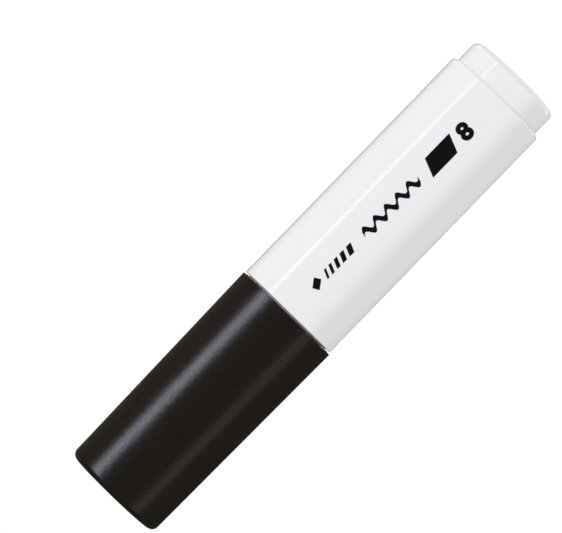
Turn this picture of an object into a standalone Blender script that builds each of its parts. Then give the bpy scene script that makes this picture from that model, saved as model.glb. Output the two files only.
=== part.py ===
"""Valve-action paint marker with a broad chisel nib, capped and standing on its tail.

The marker's axis is +Z. The origin is the centre of the tail plug's end face, the cap is at
the top, and the printed side of the barrel faces -Y. Lengths are in metres. The barrel and
what is fixed in it stay still, the cap pulls off along +Z, the nib with its socket and valve
stem press in along -Z, and the two balls rattle in the paint.
"""

import math

import bmesh
import bpy
from mathutils import Matrix, Vector

MM = 0.001

# Driving dimensions.
OVERALL_LENGTH = 130.0 * MM
CAP_LENGTH = 56.0 * MM
CAP_MOUTH_RADIUS = 13.36 * MM
CAP_END_RADIUS = 12.56 * MM
BARREL_RADIUS = 13.1 * MM
SPIGOT_RADIUS = 12.0 * MM  # of the tail plug and the neck's bead, which both fit in the cap's mouth
PLUG_PROTRUSION = 6.3 * MM
NIB_WIDTH = 8.0 * MM
NIB_THICKNESS = 4.4 * MM
BALL_RADIUS = 3.175 * MM  # a quarter-inch ball

# Fits.
FACE_GAP = 0.3 * MM  # along the axis, where one face rests on another
SLIDE_GAP = 0.1 * MM  # on the radius, where one piece slides or presses into another
OVERLAP = 0.4 * MM  # how far two shapes sink into each other before they are joined
MARGIN = 1.0 * MM  # how far a cutter stands out past what it cuts

# Heights along the axis, worked out from the overall length.
BARREL_TAIL_Z = PLUG_PROTRUSION
CAP_MOUTH_Z = OVERALL_LENGTH - CAP_LENGTH
SHOULDER_Z = CAP_MOUTH_Z - FACE_GAP
NECK_TOP_Z = SHOULDER_Z + 10.3 * MM
NECK_BEAD_Z = SHOULDER_Z + 6.3 * MM
HOLDER_SEAT_Z = NECK_TOP_Z + FACE_GAP
NOSE_BASE_Z = HOLDER_SEAT_Z + 10.3 * MM
NOSE_TOP_Z = HOLDER_SEAT_Z + 19.7 * MM
NIB_BASE_Z = HOLDER_SEAT_Z + 1.7 * MM
NIB_TOP_Z = NOSE_TOP_Z + 14.0 * MM
SEAL_Z = HOLDER_SEAT_Z - 3.8 * MM
VALVE_SEAT_Z = HOLDER_SEAT_Z - 12.7 * MM
GASKET_Z = VALVE_SEAT_Z - FACE_GAP
DISC_TOP_Z = GASKET_Z - FACE_GAP
STEM_TOP_Z = NIB_BASE_Z - 1.3 * MM
SLEEVE_Z = STEM_TOP_Z - 4.5 * MM
CAGE_FLOOR_Z = VALVE_SEAT_Z - 12.7 * MM

# Radii and walls.
BARREL_BORE = 11.4 * MM
NECK_RADIUS = SPIGOT_RADIUS - 0.25 * MM
NECK_BORE = 9.9 * MM
PLUG_FLOOR = 1.8 * MM
CAP_WALL = 1.25 * MM
CAP_END_WALL = 1.6 * MM
LINER_BORE = 8.05 * MM
LINER_RADIUS = LINER_BORE + 0.9 * MM
NOSE_RADIUS = LINER_BORE - SLIDE_GAP
SKIRT_RADIUS = NECK_BORE - 0.15 * MM
SKIRT_BORE = 8.45 * MM
CHAMBER_RADIUS = 6.6 * MM
VALVE_SEAT_THICKNESS = 2.4 * MM
GASKET_RADIUS = 5.2 * MM
GASKET_THICKNESS = 1.2 * MM
DISC_THICKNESS = 1.6 * MM
STEM_RADIUS = 1.6 * MM
SPRING_RADIUS = 2.9 * MM  # to the middle of the wire
SPRING_WIRE = 0.28 * MM  # the wire's own radius
SPRING_BORE = SPRING_RADIUS - SPRING_WIRE

# Fineness of the meshes.
SHELL_SEGMENTS = 40
SMALL_SEGMENTS = 24
WELD = 0.001 * MM
SHARP_ANGLE = math.radians(30)


# ---------------------------------------------------------------- materials


def material(name, colour, roughness, metallic=0.0):
    """A Principled material of one colour."""
    made = bpy.data.materials.new(name)
    made.use_nodes = True
    shader = made.node_tree.nodes["Principled BSDF"]
    shader.inputs["Base Color"].default_value = (*colour, 1.0)
    shader.inputs["Roughness"].default_value = roughness
    shader.inputs["Metallic"].default_value = metallic
    return made


def make_materials():
    """Every finish of the marker, by name."""
    return {
        "cap_black": material("cap_black", (0.012, 0.011, 0.010), 0.42),
        "barrel_white": material("barrel_white", (0.83, 0.83, 0.85), 0.22),
        "holder_white": material("holder_white", (0.80, 0.80, 0.80), 0.35),
        "liner_natural": material("liner_natural", (0.70, 0.71, 0.70), 0.45),
        "nib_felt": material("nib_felt", (0.62, 0.61, 0.58), 0.95),
        "valve_plastic": material("valve_plastic", (0.60, 0.62, 0.64), 0.40),
        "seal_rubber": material("seal_rubber", (0.03, 0.03, 0.03), 0.70),
        "spring_steel": material("spring_steel", (0.55, 0.55, 0.56), 0.30, 1.0),
        "ball_steel": material("ball_steel", (0.62, 0.62, 0.63), 0.15, 1.0),
    }


# ---------------------------------------------------------------- modelling helpers


def rounded(corners):
    """Outline points from corners (x, y) or (x, y, radius): a radius turns a corner into an arc."""
    points = []
    for index, corner in enumerate(corners):
        here = Vector(corner[:2])
        if len(corner) == 2:
            points.append(here)
            continue
        radius = corner[2]
        steps = 4 if radius > MM else 2
        before = (Vector(corners[index - 1][:2]) - here).normalized()
        after = (Vector(corners[(index + 1) % len(corners)][:2]) - here).normalized()
        half = before.angle(after) / 2
        centre = here + (before + after).normalized() * radius / math.sin(half)
        start = here + before * radius / math.tan(half) - centre
        end = here + after * radius / math.tan(half) - centre
        turn = -start.angle_signed(end)
        for step in range(steps + 1):
            points.append(centre + Matrix.Rotation(turn * step / steps, 2) @ start)
    return points


def rectangle(width, depth):
    """Corners of a rectangle round the axis."""
    x, y = width / 2, depth / 2
    return [(x, -y), (x, y), (-x, y), (-x, -y)]


def cross(half_length, half_thickness):
    """Corners of a plus-shaped section round the axis."""
    arm = [
        (half_length, -half_thickness),
        (half_length, half_thickness),
        (half_thickness, half_thickness),
    ]
    quarter_turns = ((1, 0), (0, 1), (-1, 0), (0, -1))
    return [(x * c - y * s, x * s + y * c) for c, s in quarter_turns for x, y in arm]


def ring_section(middle, radius, steps):
    """Corners of a round section that is centred at a distance from the axis."""
    angles = [2 * math.pi * step / steps for step in range(steps)]
    return [(middle + radius * math.cos(angle), radius * math.sin(angle)) for angle in angles]


def as_object(name, mesh, finish=None):
    """A scene object from a bmesh, smooth apart from its real edges."""
    bmesh.ops.remove_doubles(mesh, verts=mesh.verts, dist=WELD)
    bmesh.ops.recalc_face_normals(mesh, faces=mesh.faces)
    data = bpy.data.meshes.new(name)
    mesh.to_mesh(data)
    mesh.free()
    data.shade_smooth()
    data.set_sharp_from_angle(angle=SHARP_ANGLE)
    if finish:
        data.materials.append(finish)
    made = bpy.data.objects.new(name, data)
    bpy.context.scene.collection.objects.link(made)
    return made


def turned(name, corners, finish=None, segments=SHELL_SEGMENTS):
    """A turned solid: an outline of (radius, height) corners spun once round Z.

    An outline that starts on the axis also ends there, and the spin closes it.
    """
    mesh = bmesh.new()
    points = [mesh.verts.new((x, 0, y)) for x, y in rounded(corners)]
    pairs = list(zip(points, points[1:]))
    if corners[0][0] > 0:
        pairs.append((points[-1], points[0]))
    edges = [mesh.edges.new(pair) for pair in pairs]
    bmesh.ops.spin(
        mesh,
        geom=points + edges,
        cent=(0, 0, 0),
        axis=(0, 0, 1),
        angle=2 * math.pi,
        steps=segments,
        use_merge=True,
    )
    return as_object(name, mesh, finish)


def prism(corners, low, high):
    """A bmesh of an outline of (x, y) corners, raised from low to high."""
    mesh = bmesh.new()
    base = mesh.faces.new([mesh.verts.new((x, y, low)) for x, y in corners])
    raised = bmesh.ops.extrude_face_region(mesh, geom=[base])["geom"]
    top = [item for item in raised if isinstance(item, bmesh.types.BMVert)]
    bmesh.ops.translate(mesh, verts=top, vec=(0, 0, high - low))
    return mesh


def combine(target, operation, tool):
    """Joins a tool to a piece, cuts it out or keeps what they share, and hides the tool."""
    modifier = target.modifiers.new(tool.name, "BOOLEAN")
    modifier.operation = operation
    modifier.solver = "EXACT"
    modifier.object = tool
    tool.hide_render = True
    tool.display_type = "WIRE"
    tool.parent = target


def carry(name, height, pieces):
    """Parents pieces that are already in place to a new empty on the marker's axis."""
    empty = bpy.data.objects.new(name, None)
    empty.location = (0, 0, height)
    bpy.context.scene.collection.objects.link(empty)
    bpy.context.view_layer.update()
    for piece in pieces:
        piece.parent = empty
        piece.matrix_parent_inverse = empty.matrix_world.inverted()


# ---------------------------------------------------------------- barrel and tail


def make_tail_plug(finish):
    """White cup that closes the barrel's tail. The cap can be posted on its collar."""
    insert = BARREL_BORE - 0.3 * MM
    rib = BARREL_BORE - SLIDE_GAP
    bore = 9.9 * MM
    collar_top = PLUG_PROTRUSION - FACE_GAP
    top = 14.5 * MM
    seal_ribs = []
    for rib_z in (8.6 * MM, 11.2 * MM):
        seal_ribs += [
            (insert, rib_z - 0.5 * MM),
            (rib, rib_z - 0.25 * MM),
            (rib, rib_z + 0.25 * MM),
            (insert, rib_z + 0.5 * MM),
        ]
    outline = [
        (0, 0),
        (SPIGOT_RADIUS, 0, 1.6 * MM),
        (SPIGOT_RADIUS, collar_top),
        (insert, collar_top),
        *seal_ribs,
        (insert, top - 0.6 * MM),
        (insert - 0.4 * MM, top),
        (bore, top),
        (bore, PLUG_FLOOR, 1.2 * MM),
        (0, PLUG_FLOOR),
    ]
    return turned("tail_plug", outline, finish)


def make_barrel(finish):
    """White tube that holds the paint, with a beaded neck for the cap and the nib holder."""
    shoulder = SHOULDER_Z - BARREL_TAIL_Z
    bead = NECK_BEAD_Z - BARREL_TAIL_Z
    top = NECK_TOP_Z - BARREL_TAIL_Z
    chamfer = 0.4 * MM
    outline = [
        (BARREL_BORE + chamfer, 0),
        (BARREL_RADIUS, 0, 0.7 * MM),
        (BARREL_RADIUS, shoulder, 0.25 * MM),
        (NECK_RADIUS, shoulder),
        (NECK_RADIUS, bead - 0.9 * MM),
        (SPIGOT_RADIUS, bead - 0.4 * MM),
        (SPIGOT_RADIUS, bead + 0.2 * MM),
        (NECK_RADIUS, bead + 0.9 * MM),
        (NECK_RADIUS, top - chamfer),
        (NECK_RADIUS - chamfer, top),
        (NECK_BORE, top),
        (NECK_BORE, shoulder - 1.4 * MM),
        (BARREL_BORE, shoulder - 3.6 * MM),
        (BARREL_BORE, chamfer),
    ]
    barrel = turned("barrel", outline, finish)
    barrel.location.z = BARREL_TAIL_Z
    return barrel


def make_balls(finish):
    """Two steel balls that stir the paint, side by side on the tail plug's floor."""
    offset = BALL_RADIUS + 0.425 * MM
    for number, side in enumerate((-1, 1), start=1):
        mesh = bmesh.new()
        bmesh.ops.create_uvsphere(mesh, u_segments=16, v_segments=10, radius=BALL_RADIUS)
        ball = as_object(f"mixing_ball_{number}", mesh, finish)
        ball.location = (side * offset, 0, PLUG_FLOOR + FACE_GAP + BALL_RADIUS)


# ---------------------------------------------------------------- nib and its holder


def make_nib_holder(finish):
    """Front section: a skirt in the barrel's neck, a flange on top of it, and a nose for the nib."""
    skirt_low = VALVE_SEAT_Z - 3.6 * MM - HOLDER_SEAT_Z
    ledge = VALVE_SEAT_Z + VALVE_SEAT_THICKNESS + FACE_GAP - HOLDER_SEAT_Z
    chamber_top = NIB_BASE_Z + 4.0 * MM - HOLDER_SEAT_Z
    nose_base = NOSE_BASE_Z - HOLDER_SEAT_Z
    nose_top = NOSE_TOP_Z - HOLDER_SEAT_Z
    seal = SEAL_Z - HOLDER_SEAT_Z
    groove = SKIRT_RADIUS - 0.85 * MM
    groove_half_width = 0.7 * MM
    flange = NECK_RADIUS - 0.45 * MM
    flange_thickness = 1.7 * MM
    body_low_radius = 10.4 * MM
    body_top_radius = 9.9 * MM
    outline = [
        (0, chamber_top),
        (CHAMBER_RADIUS, chamber_top),
        (CHAMBER_RADIUS, ledge),
        (SKIRT_BORE, ledge),
        (SKIRT_BORE, skirt_low),
        (SKIRT_RADIUS, skirt_low, 0.4 * MM),
        (SKIRT_RADIUS, seal - groove_half_width),
        (groove, seal - groove_half_width),
        (groove, seal + groove_half_width),
        (SKIRT_RADIUS, seal + groove_half_width),
        (SKIRT_RADIUS, 0),
        (flange, 0),
        (flange, flange_thickness, 0.4 * MM),
        (body_low_radius, flange_thickness),
        (body_top_radius, nose_base - 2.3 * MM, 1.2 * MM),
        (NOSE_RADIUS, nose_base, 0.8 * MM),
        (NOSE_RADIUS, nose_top, 1.2 * MM),
        (0, nose_top),
    ]
    holder = turned("nib_holder", outline, finish)
    clearance = 0.3 * MM
    slots = {
        "nib_slot_cutter": rectangle(NIB_WIDTH + clearance, NIB_THICKNESS + clearance),
        "vent_slot_cutter": rectangle(2.4 * MM, NIB_THICKNESS + 2.2 * MM),
    }
    for name, corners in slots.items():
        tool = as_object(name, prism(corners, chamber_top - MARGIN, nose_top + MARGIN))
        combine(holder, "DIFFERENCE", tool)
    holder.location.z = HOLDER_SEAT_Z


def make_holder_seal(finish):
    """O-ring in the groove of the holder's skirt."""
    section = 0.4 * MM
    middle = NECK_BORE - SLIDE_GAP - section
    seal = turned("holder_seal", ring_section(middle, section, 8), finish)
    seal.location.z = SEAL_Z


def make_nib(finish):
    """Felt bar cut to a slanting chisel, highest at its -X, -Y corner."""
    length = NIB_TOP_Z - NIB_BASE_Z
    side_drop = 3.4 * MM  # along the writing edge
    back_drop = 3.2 * MM  # from the writing edge to the back of the nib
    mesh = prism(rectangle(NIB_WIDTH, NIB_THICKNESS), 0, length)
    for vert in mesh.verts:
        if vert.co.z > 0:
            along = vert.co.x / NIB_WIDTH + 0.5
            back = vert.co.y / NIB_THICKNESS + 0.5
            vert.co.z -= along * side_drop + back * back_drop
    nib = as_object("nib", mesh, finish)
    bevel = nib.modifiers.new("softened_edges", "BEVEL")
    bevel.width = 0.35 * MM
    bevel.segments = 2
    nib.location.z = NIB_BASE_Z
    return nib


def make_nib_socket(finish):
    """Slider in the holder's chamber: it grips the nib's base and stands on the valve stem."""
    floor = -2.8 * MM
    top = 3.7 * MM
    sleeve_low = SLEEVE_Z - NIB_BASE_Z
    bore_top = STEM_TOP_Z + FACE_GAP - NIB_BASE_Z
    bore = STEM_RADIUS + SLIDE_GAP
    radius = CHAMBER_RADIUS - 0.25 * MM
    outline = [
        (0, bore_top),
        (bore, bore_top),
        (bore, sleeve_low),
        (3.0 * MM, sleeve_low, 0.3 * MM),
        (3.0 * MM, floor),
        (radius, floor, 0.3 * MM),
        (radius, top, 0.3 * MM),
        (0, top),
    ]
    socket = turned("nib_socket", outline, finish, SMALL_SEGMENTS)
    flats = rectangle(3 * radius, NIB_THICKNESS + 3.2 * MM)
    pocket = rectangle(NIB_WIDTH + 2 * SLIDE_GAP, NIB_THICKNESS + 2 * SLIDE_GAP)
    outer = as_object("socket_flats_tool", prism(flats, sleeve_low - MARGIN, top + MARGIN))
    inner = as_object("socket_pocket_cutter", prism(pocket, -FACE_GAP, top + MARGIN))
    combine(socket, "INTERSECT", outer)
    combine(socket, "DIFFERENCE", inner)
    socket.location.z = NIB_BASE_Z
    return socket


# ---------------------------------------------------------------- valve


def make_valve_stem(finish):
    """Disc that closes the valve, with a fluted stem up to the nib and a spigot in the spring."""
    disc_radius = 4.4 * MM
    spigot_radius = SPRING_BORE - 0.7 * MM
    spigot_low = -DISC_THICKNESS - 2.6 * MM
    disc_outline = [
        (0, spigot_low),
        (spigot_radius, spigot_low, 0.4 * MM),
        (spigot_radius, -DISC_THICKNESS),
        (disc_radius, -DISC_THICKNESS, 0.3 * MM),
        (disc_radius, 0, 0.3 * MM),
        (0, 0),
    ]
    flute_top = SLEEVE_Z - FACE_GAP - DISC_TOP_Z
    rod_top = STEM_TOP_Z - DISC_TOP_Z
    rod_outline = [
        (0, flute_top - OVERLAP),
        (STEM_RADIUS, flute_top - OVERLAP),
        (STEM_RADIUS, rod_top, 0.3 * MM),
        (0, rod_top),
    ]
    stem = turned("valve_stem", disc_outline, finish, SMALL_SEGMENTS)
    flutes = as_object("stem_flutes_tool", prism(cross(2.2 * MM, 0.5 * MM), -OVERLAP, flute_top))
    combine(stem, "UNION", flutes)
    combine(stem, "UNION", turned("stem_rod_tool", rod_outline, segments=SMALL_SEGMENTS))
    stem.location.z = DISC_TOP_Z
    return stem


def make_valve_seat(finish):
    """Ring pressed into the holder's skirt, with the hole that the paint passes."""
    hole = 2.6 * MM
    radius = SKIRT_BORE - SLIDE_GAP
    recess = GASKET_RADIUS + SLIDE_GAP
    lead_in = 0.6 * MM
    outline = [
        (hole, GASKET_THICKNESS),
        (recess, GASKET_THICKNESS),
        (recess, 0),
        (radius, 0, 0.3 * MM),
        (radius, VALVE_SEAT_THICKNESS, 0.3 * MM),
        (hole + lead_in, VALVE_SEAT_THICKNESS),
        (hole, VALVE_SEAT_THICKNESS - lead_in),
    ]
    seat = turned("valve_seat", outline, finish, SMALL_SEGMENTS)
    seat.location.z = VALVE_SEAT_Z


def make_valve_gasket(finish):
    """Soft ring under the valve seat, which the stem's disc closes against."""
    bore = 2.75 * MM
    outline = [
        (bore, 0),
        (GASKET_RADIUS, 0, 0.25 * MM),
        (GASKET_RADIUS, GASKET_THICKNESS),
        (bore, GASKET_THICKNESS),
    ]
    gasket = turned("valve_gasket", outline, finish, SMALL_SEGMENTS)
    gasket.location.z = GASKET_Z


def make_valve_cage(finish):
    """Cup under the valve seat that holds the spring, with four windows for the paint."""
    rim = SKIRT_BORE - SLIDE_GAP
    radius = rim - 0.4 * MM
    bore = 6.9 * MM
    bottom = -1.4 * MM
    top = VALVE_SEAT_Z - FACE_GAP - CAGE_FLOOR_Z
    boss_radius = SPRING_BORE - 0.5 * MM
    boss_top = 1.8 * MM
    outline = [
        (0, bottom),
        (radius, bottom, 0.4 * MM),
        (radius, top - 3.6 * MM),
        (rim, top - 3.2 * MM),
        (rim, top),
        (bore, top),
        (bore, 0, 0.5 * MM),
        (boss_radius, 0),
        (boss_radius, boss_top, 0.3 * MM),
        (0, boss_top),
    ]
    cage = turned("valve_cage", outline, finish, SMALL_SEGMENTS)
    for number, turn in enumerate((math.pi / 4, -math.pi / 4), start=1):
        window_pair = prism(rectangle(3 * rim, 5.6 * MM), boss_top + OVERLAP, top - 4.4 * MM)
        tool = as_object(f"cage_window_cutter_{number}", window_pair)
        tool.rotation_euler.z = turn
        combine(cage, "DIFFERENCE", tool)
    cage.location.z = CAGE_FLOOR_Z


def make_valve_spring(finish):
    """Compression spring with closed ends, between the cage's floor and the stem's disc."""
    turns = 7
    points_per_turn = 12
    height = DISC_TOP_Z - DISC_THICKNESS - CAGE_FLOOR_Z - 2 * (FACE_GAP + SPRING_WIRE)
    end_pitch = 2 * SPRING_WIRE + 0.15 * MM
    open_pitch = (height - 2 * end_pitch) / (turns - 2)
    curve = bpy.data.curves.new("valve_spring", "CURVE")
    curve.dimensions = "3D"
    curve.bevel_depth = SPRING_WIRE
    curve.bevel_resolution = 1
    curve.use_fill_caps = True
    curve.materials.append(finish)
    wire = curve.splines.new("POLY")
    wire.points.add(turns * points_per_turn)
    for index, point in enumerate(wire.points):
        turn = index / points_per_turn
        end_turns = min(turn, 1) + max(turn - turns + 1, 0)
        angle = 2 * math.pi * turn
        rise = end_turns * end_pitch + (turn - end_turns) * open_pitch
        point.co = (SPRING_RADIUS * math.cos(angle), SPRING_RADIUS * math.sin(angle), rise, 1)
    spring = bpy.data.objects.new("valve_spring", curve)
    spring.location.z = CAGE_FLOOR_Z + FACE_GAP + SPRING_WIRE
    bpy.context.scene.collection.objects.link(spring)


# ---------------------------------------------------------------- cap


def make_cap_shell(finish):
    """Black cap: a slightly tapered cup with ribs inside that centre its liner."""
    mouth_bore = SPIGOT_RADIUS + SLIDE_GAP
    waist_bore = mouth_bore - 0.35 * MM
    end_bore = CAP_END_RADIUS - CAP_WALL
    floor = CAP_LENGTH - CAP_END_WALL
    neck_height = NECK_TOP_Z - CAP_MOUTH_Z
    bead = NECK_BEAD_Z - CAP_MOUTH_Z
    chamfer = 0.4 * MM
    outline = [
        (0, floor),
        (end_bore, floor, 0.8 * MM),
        (waist_bore, neck_height + 1.0 * MM),
        (mouth_bore, neck_height + 0.4 * MM),
        (mouth_bore, bead + 1.1 * MM),
        (mouth_bore + 0.25 * MM, bead + 0.7 * MM),
        (mouth_bore + 0.25 * MM, bead - 0.7 * MM),
        (mouth_bore, bead - 1.1 * MM),
        (mouth_bore, chamfer),
        (mouth_bore + chamfer, 0),
        (CAP_MOUTH_RADIUS, 0, 0.25 * MM),
        (CAP_END_RADIUS, CAP_LENGTH, 1.7 * MM),
        (0, CAP_LENGTH),
    ]
    shell = turned("cap_shell", outline, finish)
    rib_count = 6
    rib_inner = LINER_RADIUS + SLIDE_GAP
    rib_outer = end_bore + 0.5 * MM
    rib_low = NOSE_BASE_Z - CAP_MOUTH_Z + 4.0 * MM
    ribs = bmesh.new()
    for index in range(rib_count):
        rib = prism(rectangle(rib_outer - rib_inner, 1.0 * MM), rib_low, floor + OVERLAP)
        out = Matrix.Translation(((rib_outer + rib_inner) / 2, 0, 0))
        rib.transform(Matrix.Rotation(2 * math.pi * index / rib_count, 4, "Z") @ out)
        one_rib = bpy.data.meshes.new("cap_rib")
        rib.to_mesh(one_rib)
        rib.free()
        ribs.from_mesh(one_rib)
        bpy.data.meshes.remove(one_rib)
    combine(shell, "UNION", as_object("cap_ribs_tool", ribs))
    shell.location.z = CAP_MOUTH_Z
    return shell


def make_inner_cap(finish):
    """Soft liner that closes on the holder's nose and keeps the nib from drying."""
    upper_bore = LINER_BORE - 0.25 * MM
    nose_height = NOSE_TOP_Z - NOSE_BASE_Z
    top = OVERALL_LENGTH - CAP_END_WALL - FACE_GAP - NOSE_BASE_Z
    ceiling = top - 1.0 * MM
    outline = [
        (0, ceiling),
        (upper_bore, ceiling, 0.8 * MM),
        (upper_bore, nose_height),
        (LINER_BORE, nose_height - 0.8 * MM),
        (LINER_BORE, 1.2 * MM),
        (LINER_BORE + 0.55 * MM, 0),
        (LINER_RADIUS, 0, 0.2 * MM),
        (LINER_RADIUS, top, 0.8 * MM),
        (0, top),
    ]
    liner = turned("inner_cap", outline, finish)
    liner.location.z = NOSE_BASE_Z
    return liner


# ---------------------------------------------------------------- assembly


def main():
    for old in list(bpy.data.objects):
        bpy.data.objects.remove(old, do_unlink=True)
    finish = make_materials()

    make_tail_plug(finish["barrel_white"])
    make_barrel(finish["barrel_white"])
    make_balls(finish["ball_steel"])
    make_nib_holder(finish["holder_white"])
    make_holder_seal(finish["seal_rubber"])
    make_valve_seat(finish["valve_plastic"])
    make_valve_gasket(finish["seal_rubber"])
    make_valve_cage(finish["valve_plastic"])
    make_valve_spring(finish["spring_steel"])
    plunger_pieces = [
        make_nib(finish["nib_felt"]),
        make_nib_socket(finish["valve_plastic"]),
        make_valve_stem(finish["valve_plastic"]),
    ]
    cap_pieces = [
        make_cap_shell(finish["cap_black"]),
        make_inner_cap(finish["liner_natural"]),
    ]
    carry("plunger_axis", NIB_BASE_Z, plunger_pieces)
    carry("cap_axis", CAP_MOUTH_Z, cap_pieces)


main()
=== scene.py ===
"""Looks of a valve-action paint marker with a broad chisel nib.

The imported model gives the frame: the marker's axis is +Z, it stands on its tail plug at z = 0,
and the printed side of the barrel faces -Y. Each sub-assembly is a class that builds its own
meshes at their place in that frame, in metres, and dresses them in its finishes.
"""

import logging
import math
from collections.abc import Iterable, Mapping, Sequence
from dataclasses import dataclass, field, replace
from enum import Enum

import bmesh
import bpy
from mathutils import Matrix, Vector, noise


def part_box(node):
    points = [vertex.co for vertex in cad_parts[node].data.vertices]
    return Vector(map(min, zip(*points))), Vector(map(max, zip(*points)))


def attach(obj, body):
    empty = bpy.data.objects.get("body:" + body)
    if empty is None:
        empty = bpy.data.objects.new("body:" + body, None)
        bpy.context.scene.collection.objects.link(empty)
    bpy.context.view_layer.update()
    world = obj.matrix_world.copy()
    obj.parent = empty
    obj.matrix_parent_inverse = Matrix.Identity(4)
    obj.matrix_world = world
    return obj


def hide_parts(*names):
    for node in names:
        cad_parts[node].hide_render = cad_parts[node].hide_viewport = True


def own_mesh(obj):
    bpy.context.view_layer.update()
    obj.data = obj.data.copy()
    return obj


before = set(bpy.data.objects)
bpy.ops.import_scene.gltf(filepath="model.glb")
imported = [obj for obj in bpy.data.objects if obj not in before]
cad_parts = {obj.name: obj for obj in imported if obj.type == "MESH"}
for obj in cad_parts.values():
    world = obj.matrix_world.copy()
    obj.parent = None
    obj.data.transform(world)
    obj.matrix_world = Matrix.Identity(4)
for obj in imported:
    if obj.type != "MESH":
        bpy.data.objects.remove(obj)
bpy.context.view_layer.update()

LOG = logging.getLogger("marker")
MM = 0.001
Corner = tuple[float, ...]
Colour = tuple[float, float, float, float]
Stop = tuple[float, float, str]

# Fineness of the meshes.
SEGMENTS = 160
SMALL_SEGMENTS = 96
ARC_STEPS = 8
WELD = 0.0005 * MM
SHARP_ANGLE = math.radians(32)
PRISM_STEPS = 4
WIRE_SIDES = 12
FIBRE_SIDES = 5

# Fillets that come back on most mouldings, and the height of the nub in each gate mark.
CRISP, FINE, SMALL, EASED = 0.1 * MM, 0.15 * MM, 0.2 * MM, 0.25 * MM
SOFT, ROUND, BROAD = 0.3 * MM, 0.4 * MM, 0.8 * MM
NUB_HEIGHT = 0.12 * MM

# Node types that come up often, and the sockets of the Mix node that blend two colours.
MATH = "ShaderNodeMath"
TURN = "ShaderNodeVectorRotate"
MAP_RANGE = "ShaderNodeMapRange"
MIX_FACTOR, MIX_A, MIX_B, MIX_RESULT = 0, 6, 7, 2

# The span of values that a noise pattern really uses, and a narrower one for more contrast.
MIDDLE_OF_NOISE = {"From Min": 0.3, "From Max": 0.7}
CORE_OF_NOISE = {"From Min": 0.35, "From Max": 0.65}

# A loose fibre's random turns about the surface's own axes, before its lean scales them.
LEAN_SPAN = {"Min": (-1.0, -1.0, 0.0), "Max": (1.0, 1.0, 3.0)}

WHITE = (1.0, 1.0, 1.0, 1.0)
SENSOR_WIDTH = 36.0


class Body(Enum):
    """The rigid bodies that the pieces ride on."""

    BARREL = "barrel"
    CAP = "cap"
    PLUNGER = "plunger"
    BALL_1 = "ball_1"
    BALL_2 = "ball_2"


class Slot(Enum):
    """The record's material slots."""

    CAP_BLACK = "cap_black"
    BARREL_WHITE = "barrel_white"
    HOLDER_WHITE = "holder_white"
    LINER_NATURAL = "liner_natural"
    VALVE_PLASTIC = "valve_plastic"
    NIB_FELT = "nib_felt"
    SEAL_RUBBER = "seal_rubber"
    SPRING_STEEL = "spring_steel"
    BALL_STEEL = "ball_steel"


class Carving(Enum):
    """What a tool does to the piece it meets."""

    CUT = "DIFFERENCE"
    KEEP = "INTERSECT"
    JOIN = "UNION"


# ---------------------------------------------------------------- small helpers


def linear(hex_colour: str) -> Colour:
    """Turns an sRGB hex colour into linear light.

    Args:
        hex_colour: six hex digits after a #.

    Returns:
        Red, green, blue and an alpha of 1.
    """
    channels = [int(hex_colour[start : start + 2], 16) / 255 for start in (1, 3, 5)]
    red, green, blue = (
        value / 12.92 if value <= 0.04045 else ((value + 0.055) / 1.055) ** 2.4
        for value in channels
    )
    return (red, green, blue, 1.0)


def feed(node: bpy.types.Node, inputs: Mapping[str | int, object]) -> None:
    """Fills some of a node's inputs.

    Args:
        node: the node.
        inputs: for each named or numbered input a value, another node's output to link, or
            another node, which stands for its first output.
    """
    for key, value in inputs.items():
        source = value.outputs[0] if isinstance(value, bpy.types.Node) else value
        if isinstance(source, bpy.types.NodeSocket):
            node.id_data.links.new(source, node.inputs[key])
        else:
            node.inputs[key].default_value = source


def add_node(
    tree: bpy.types.NodeTree,
    kind: str,
    settings: Mapping[str, object] | None = None,
    inputs: Mapping[str | int, object] | None = None,
) -> bpy.types.Node:
    """Adds one node to a tree.

    Args:
        tree: the tree that gets the node.
        kind: the node's type.
        settings: the node's own properties, by name.
        inputs: what goes into it, as for feed().

    Returns:
        The node.
    """
    node = tree.nodes.new(kind)
    for name, value in (settings or {}).items():
        setattr(node, name, value)
    feed(node, inputs or {})
    return node


def rounded(corners: Sequence[Corner], steps: int = ARC_STEPS) -> list[Vector]:
    """Turns corners into outline points.

    Args:
        corners: (x, y), or (x, y, radius) where an arc takes the corner's place.
        steps: how many steps each arc has.

    Returns:
        The points in order. A short straight holds each arc's ends, so that its shading stays
        off the long walls beside it.
    """
    points = []
    for index, corner in enumerate(corners):
        here = Vector(corner[:2])
        if len(corner) == 2:
            points.append(here)
            continue
        radius = corner[2]
        before = (Vector(corners[index - 1][:2]) - here).normalized()
        after = (Vector(corners[(index + 1) % len(corners)][:2]) - here).normalized()
        half = before.angle(after) / 2
        reach = radius / math.tan(half)
        centre = here + (before + after).normalized() * radius / math.sin(half)
        start = here + before * reach - centre
        end = here + after * reach - centre
        turn = -start.angle_signed(end)
        hold = 0.2 * radius
        points.append(here + before * (reach + hold))
        for step in range(steps + 1):
            points.append(centre + Matrix.Rotation(turn * step / steps, 2) @ start)
        points.append(here + after * (reach + hold))
    return points


def rectangle(width: float, depth: float, radius: float) -> list[Corner]:
    """Corners of a rounded rectangle round the axis."""
    x, y = width / 2, depth / 2
    return [(x, -y, radius), (x, y, radius), (-x, y, radius), (-x, -y, radius)]


def band(
    wall: float,
    crest: float,
    middle: float,
    halves: tuple[float, float],
    fillets: tuple[float, float],
) -> list[Corner]:
    """Corners of a bead or a groove that runs round a wall.

    Args:
        wall: radius of the wall.
        crest: radius of the bead's top or the groove's floor.
        middle: its height.
        halves: half its breadth at the wall and at the crest, both negative on the way down.
        fillets: the fillets at the wall and at the crest.

    Returns:
        Four corners of an outline.
    """
    (wide, narrow), (foot, top) = halves, fillets
    rising = [(wall, middle - wide, foot), (crest, middle - narrow, top)]
    return rising + [(crest, middle + narrow, top), (wall, middle + wide, foot)]


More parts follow.
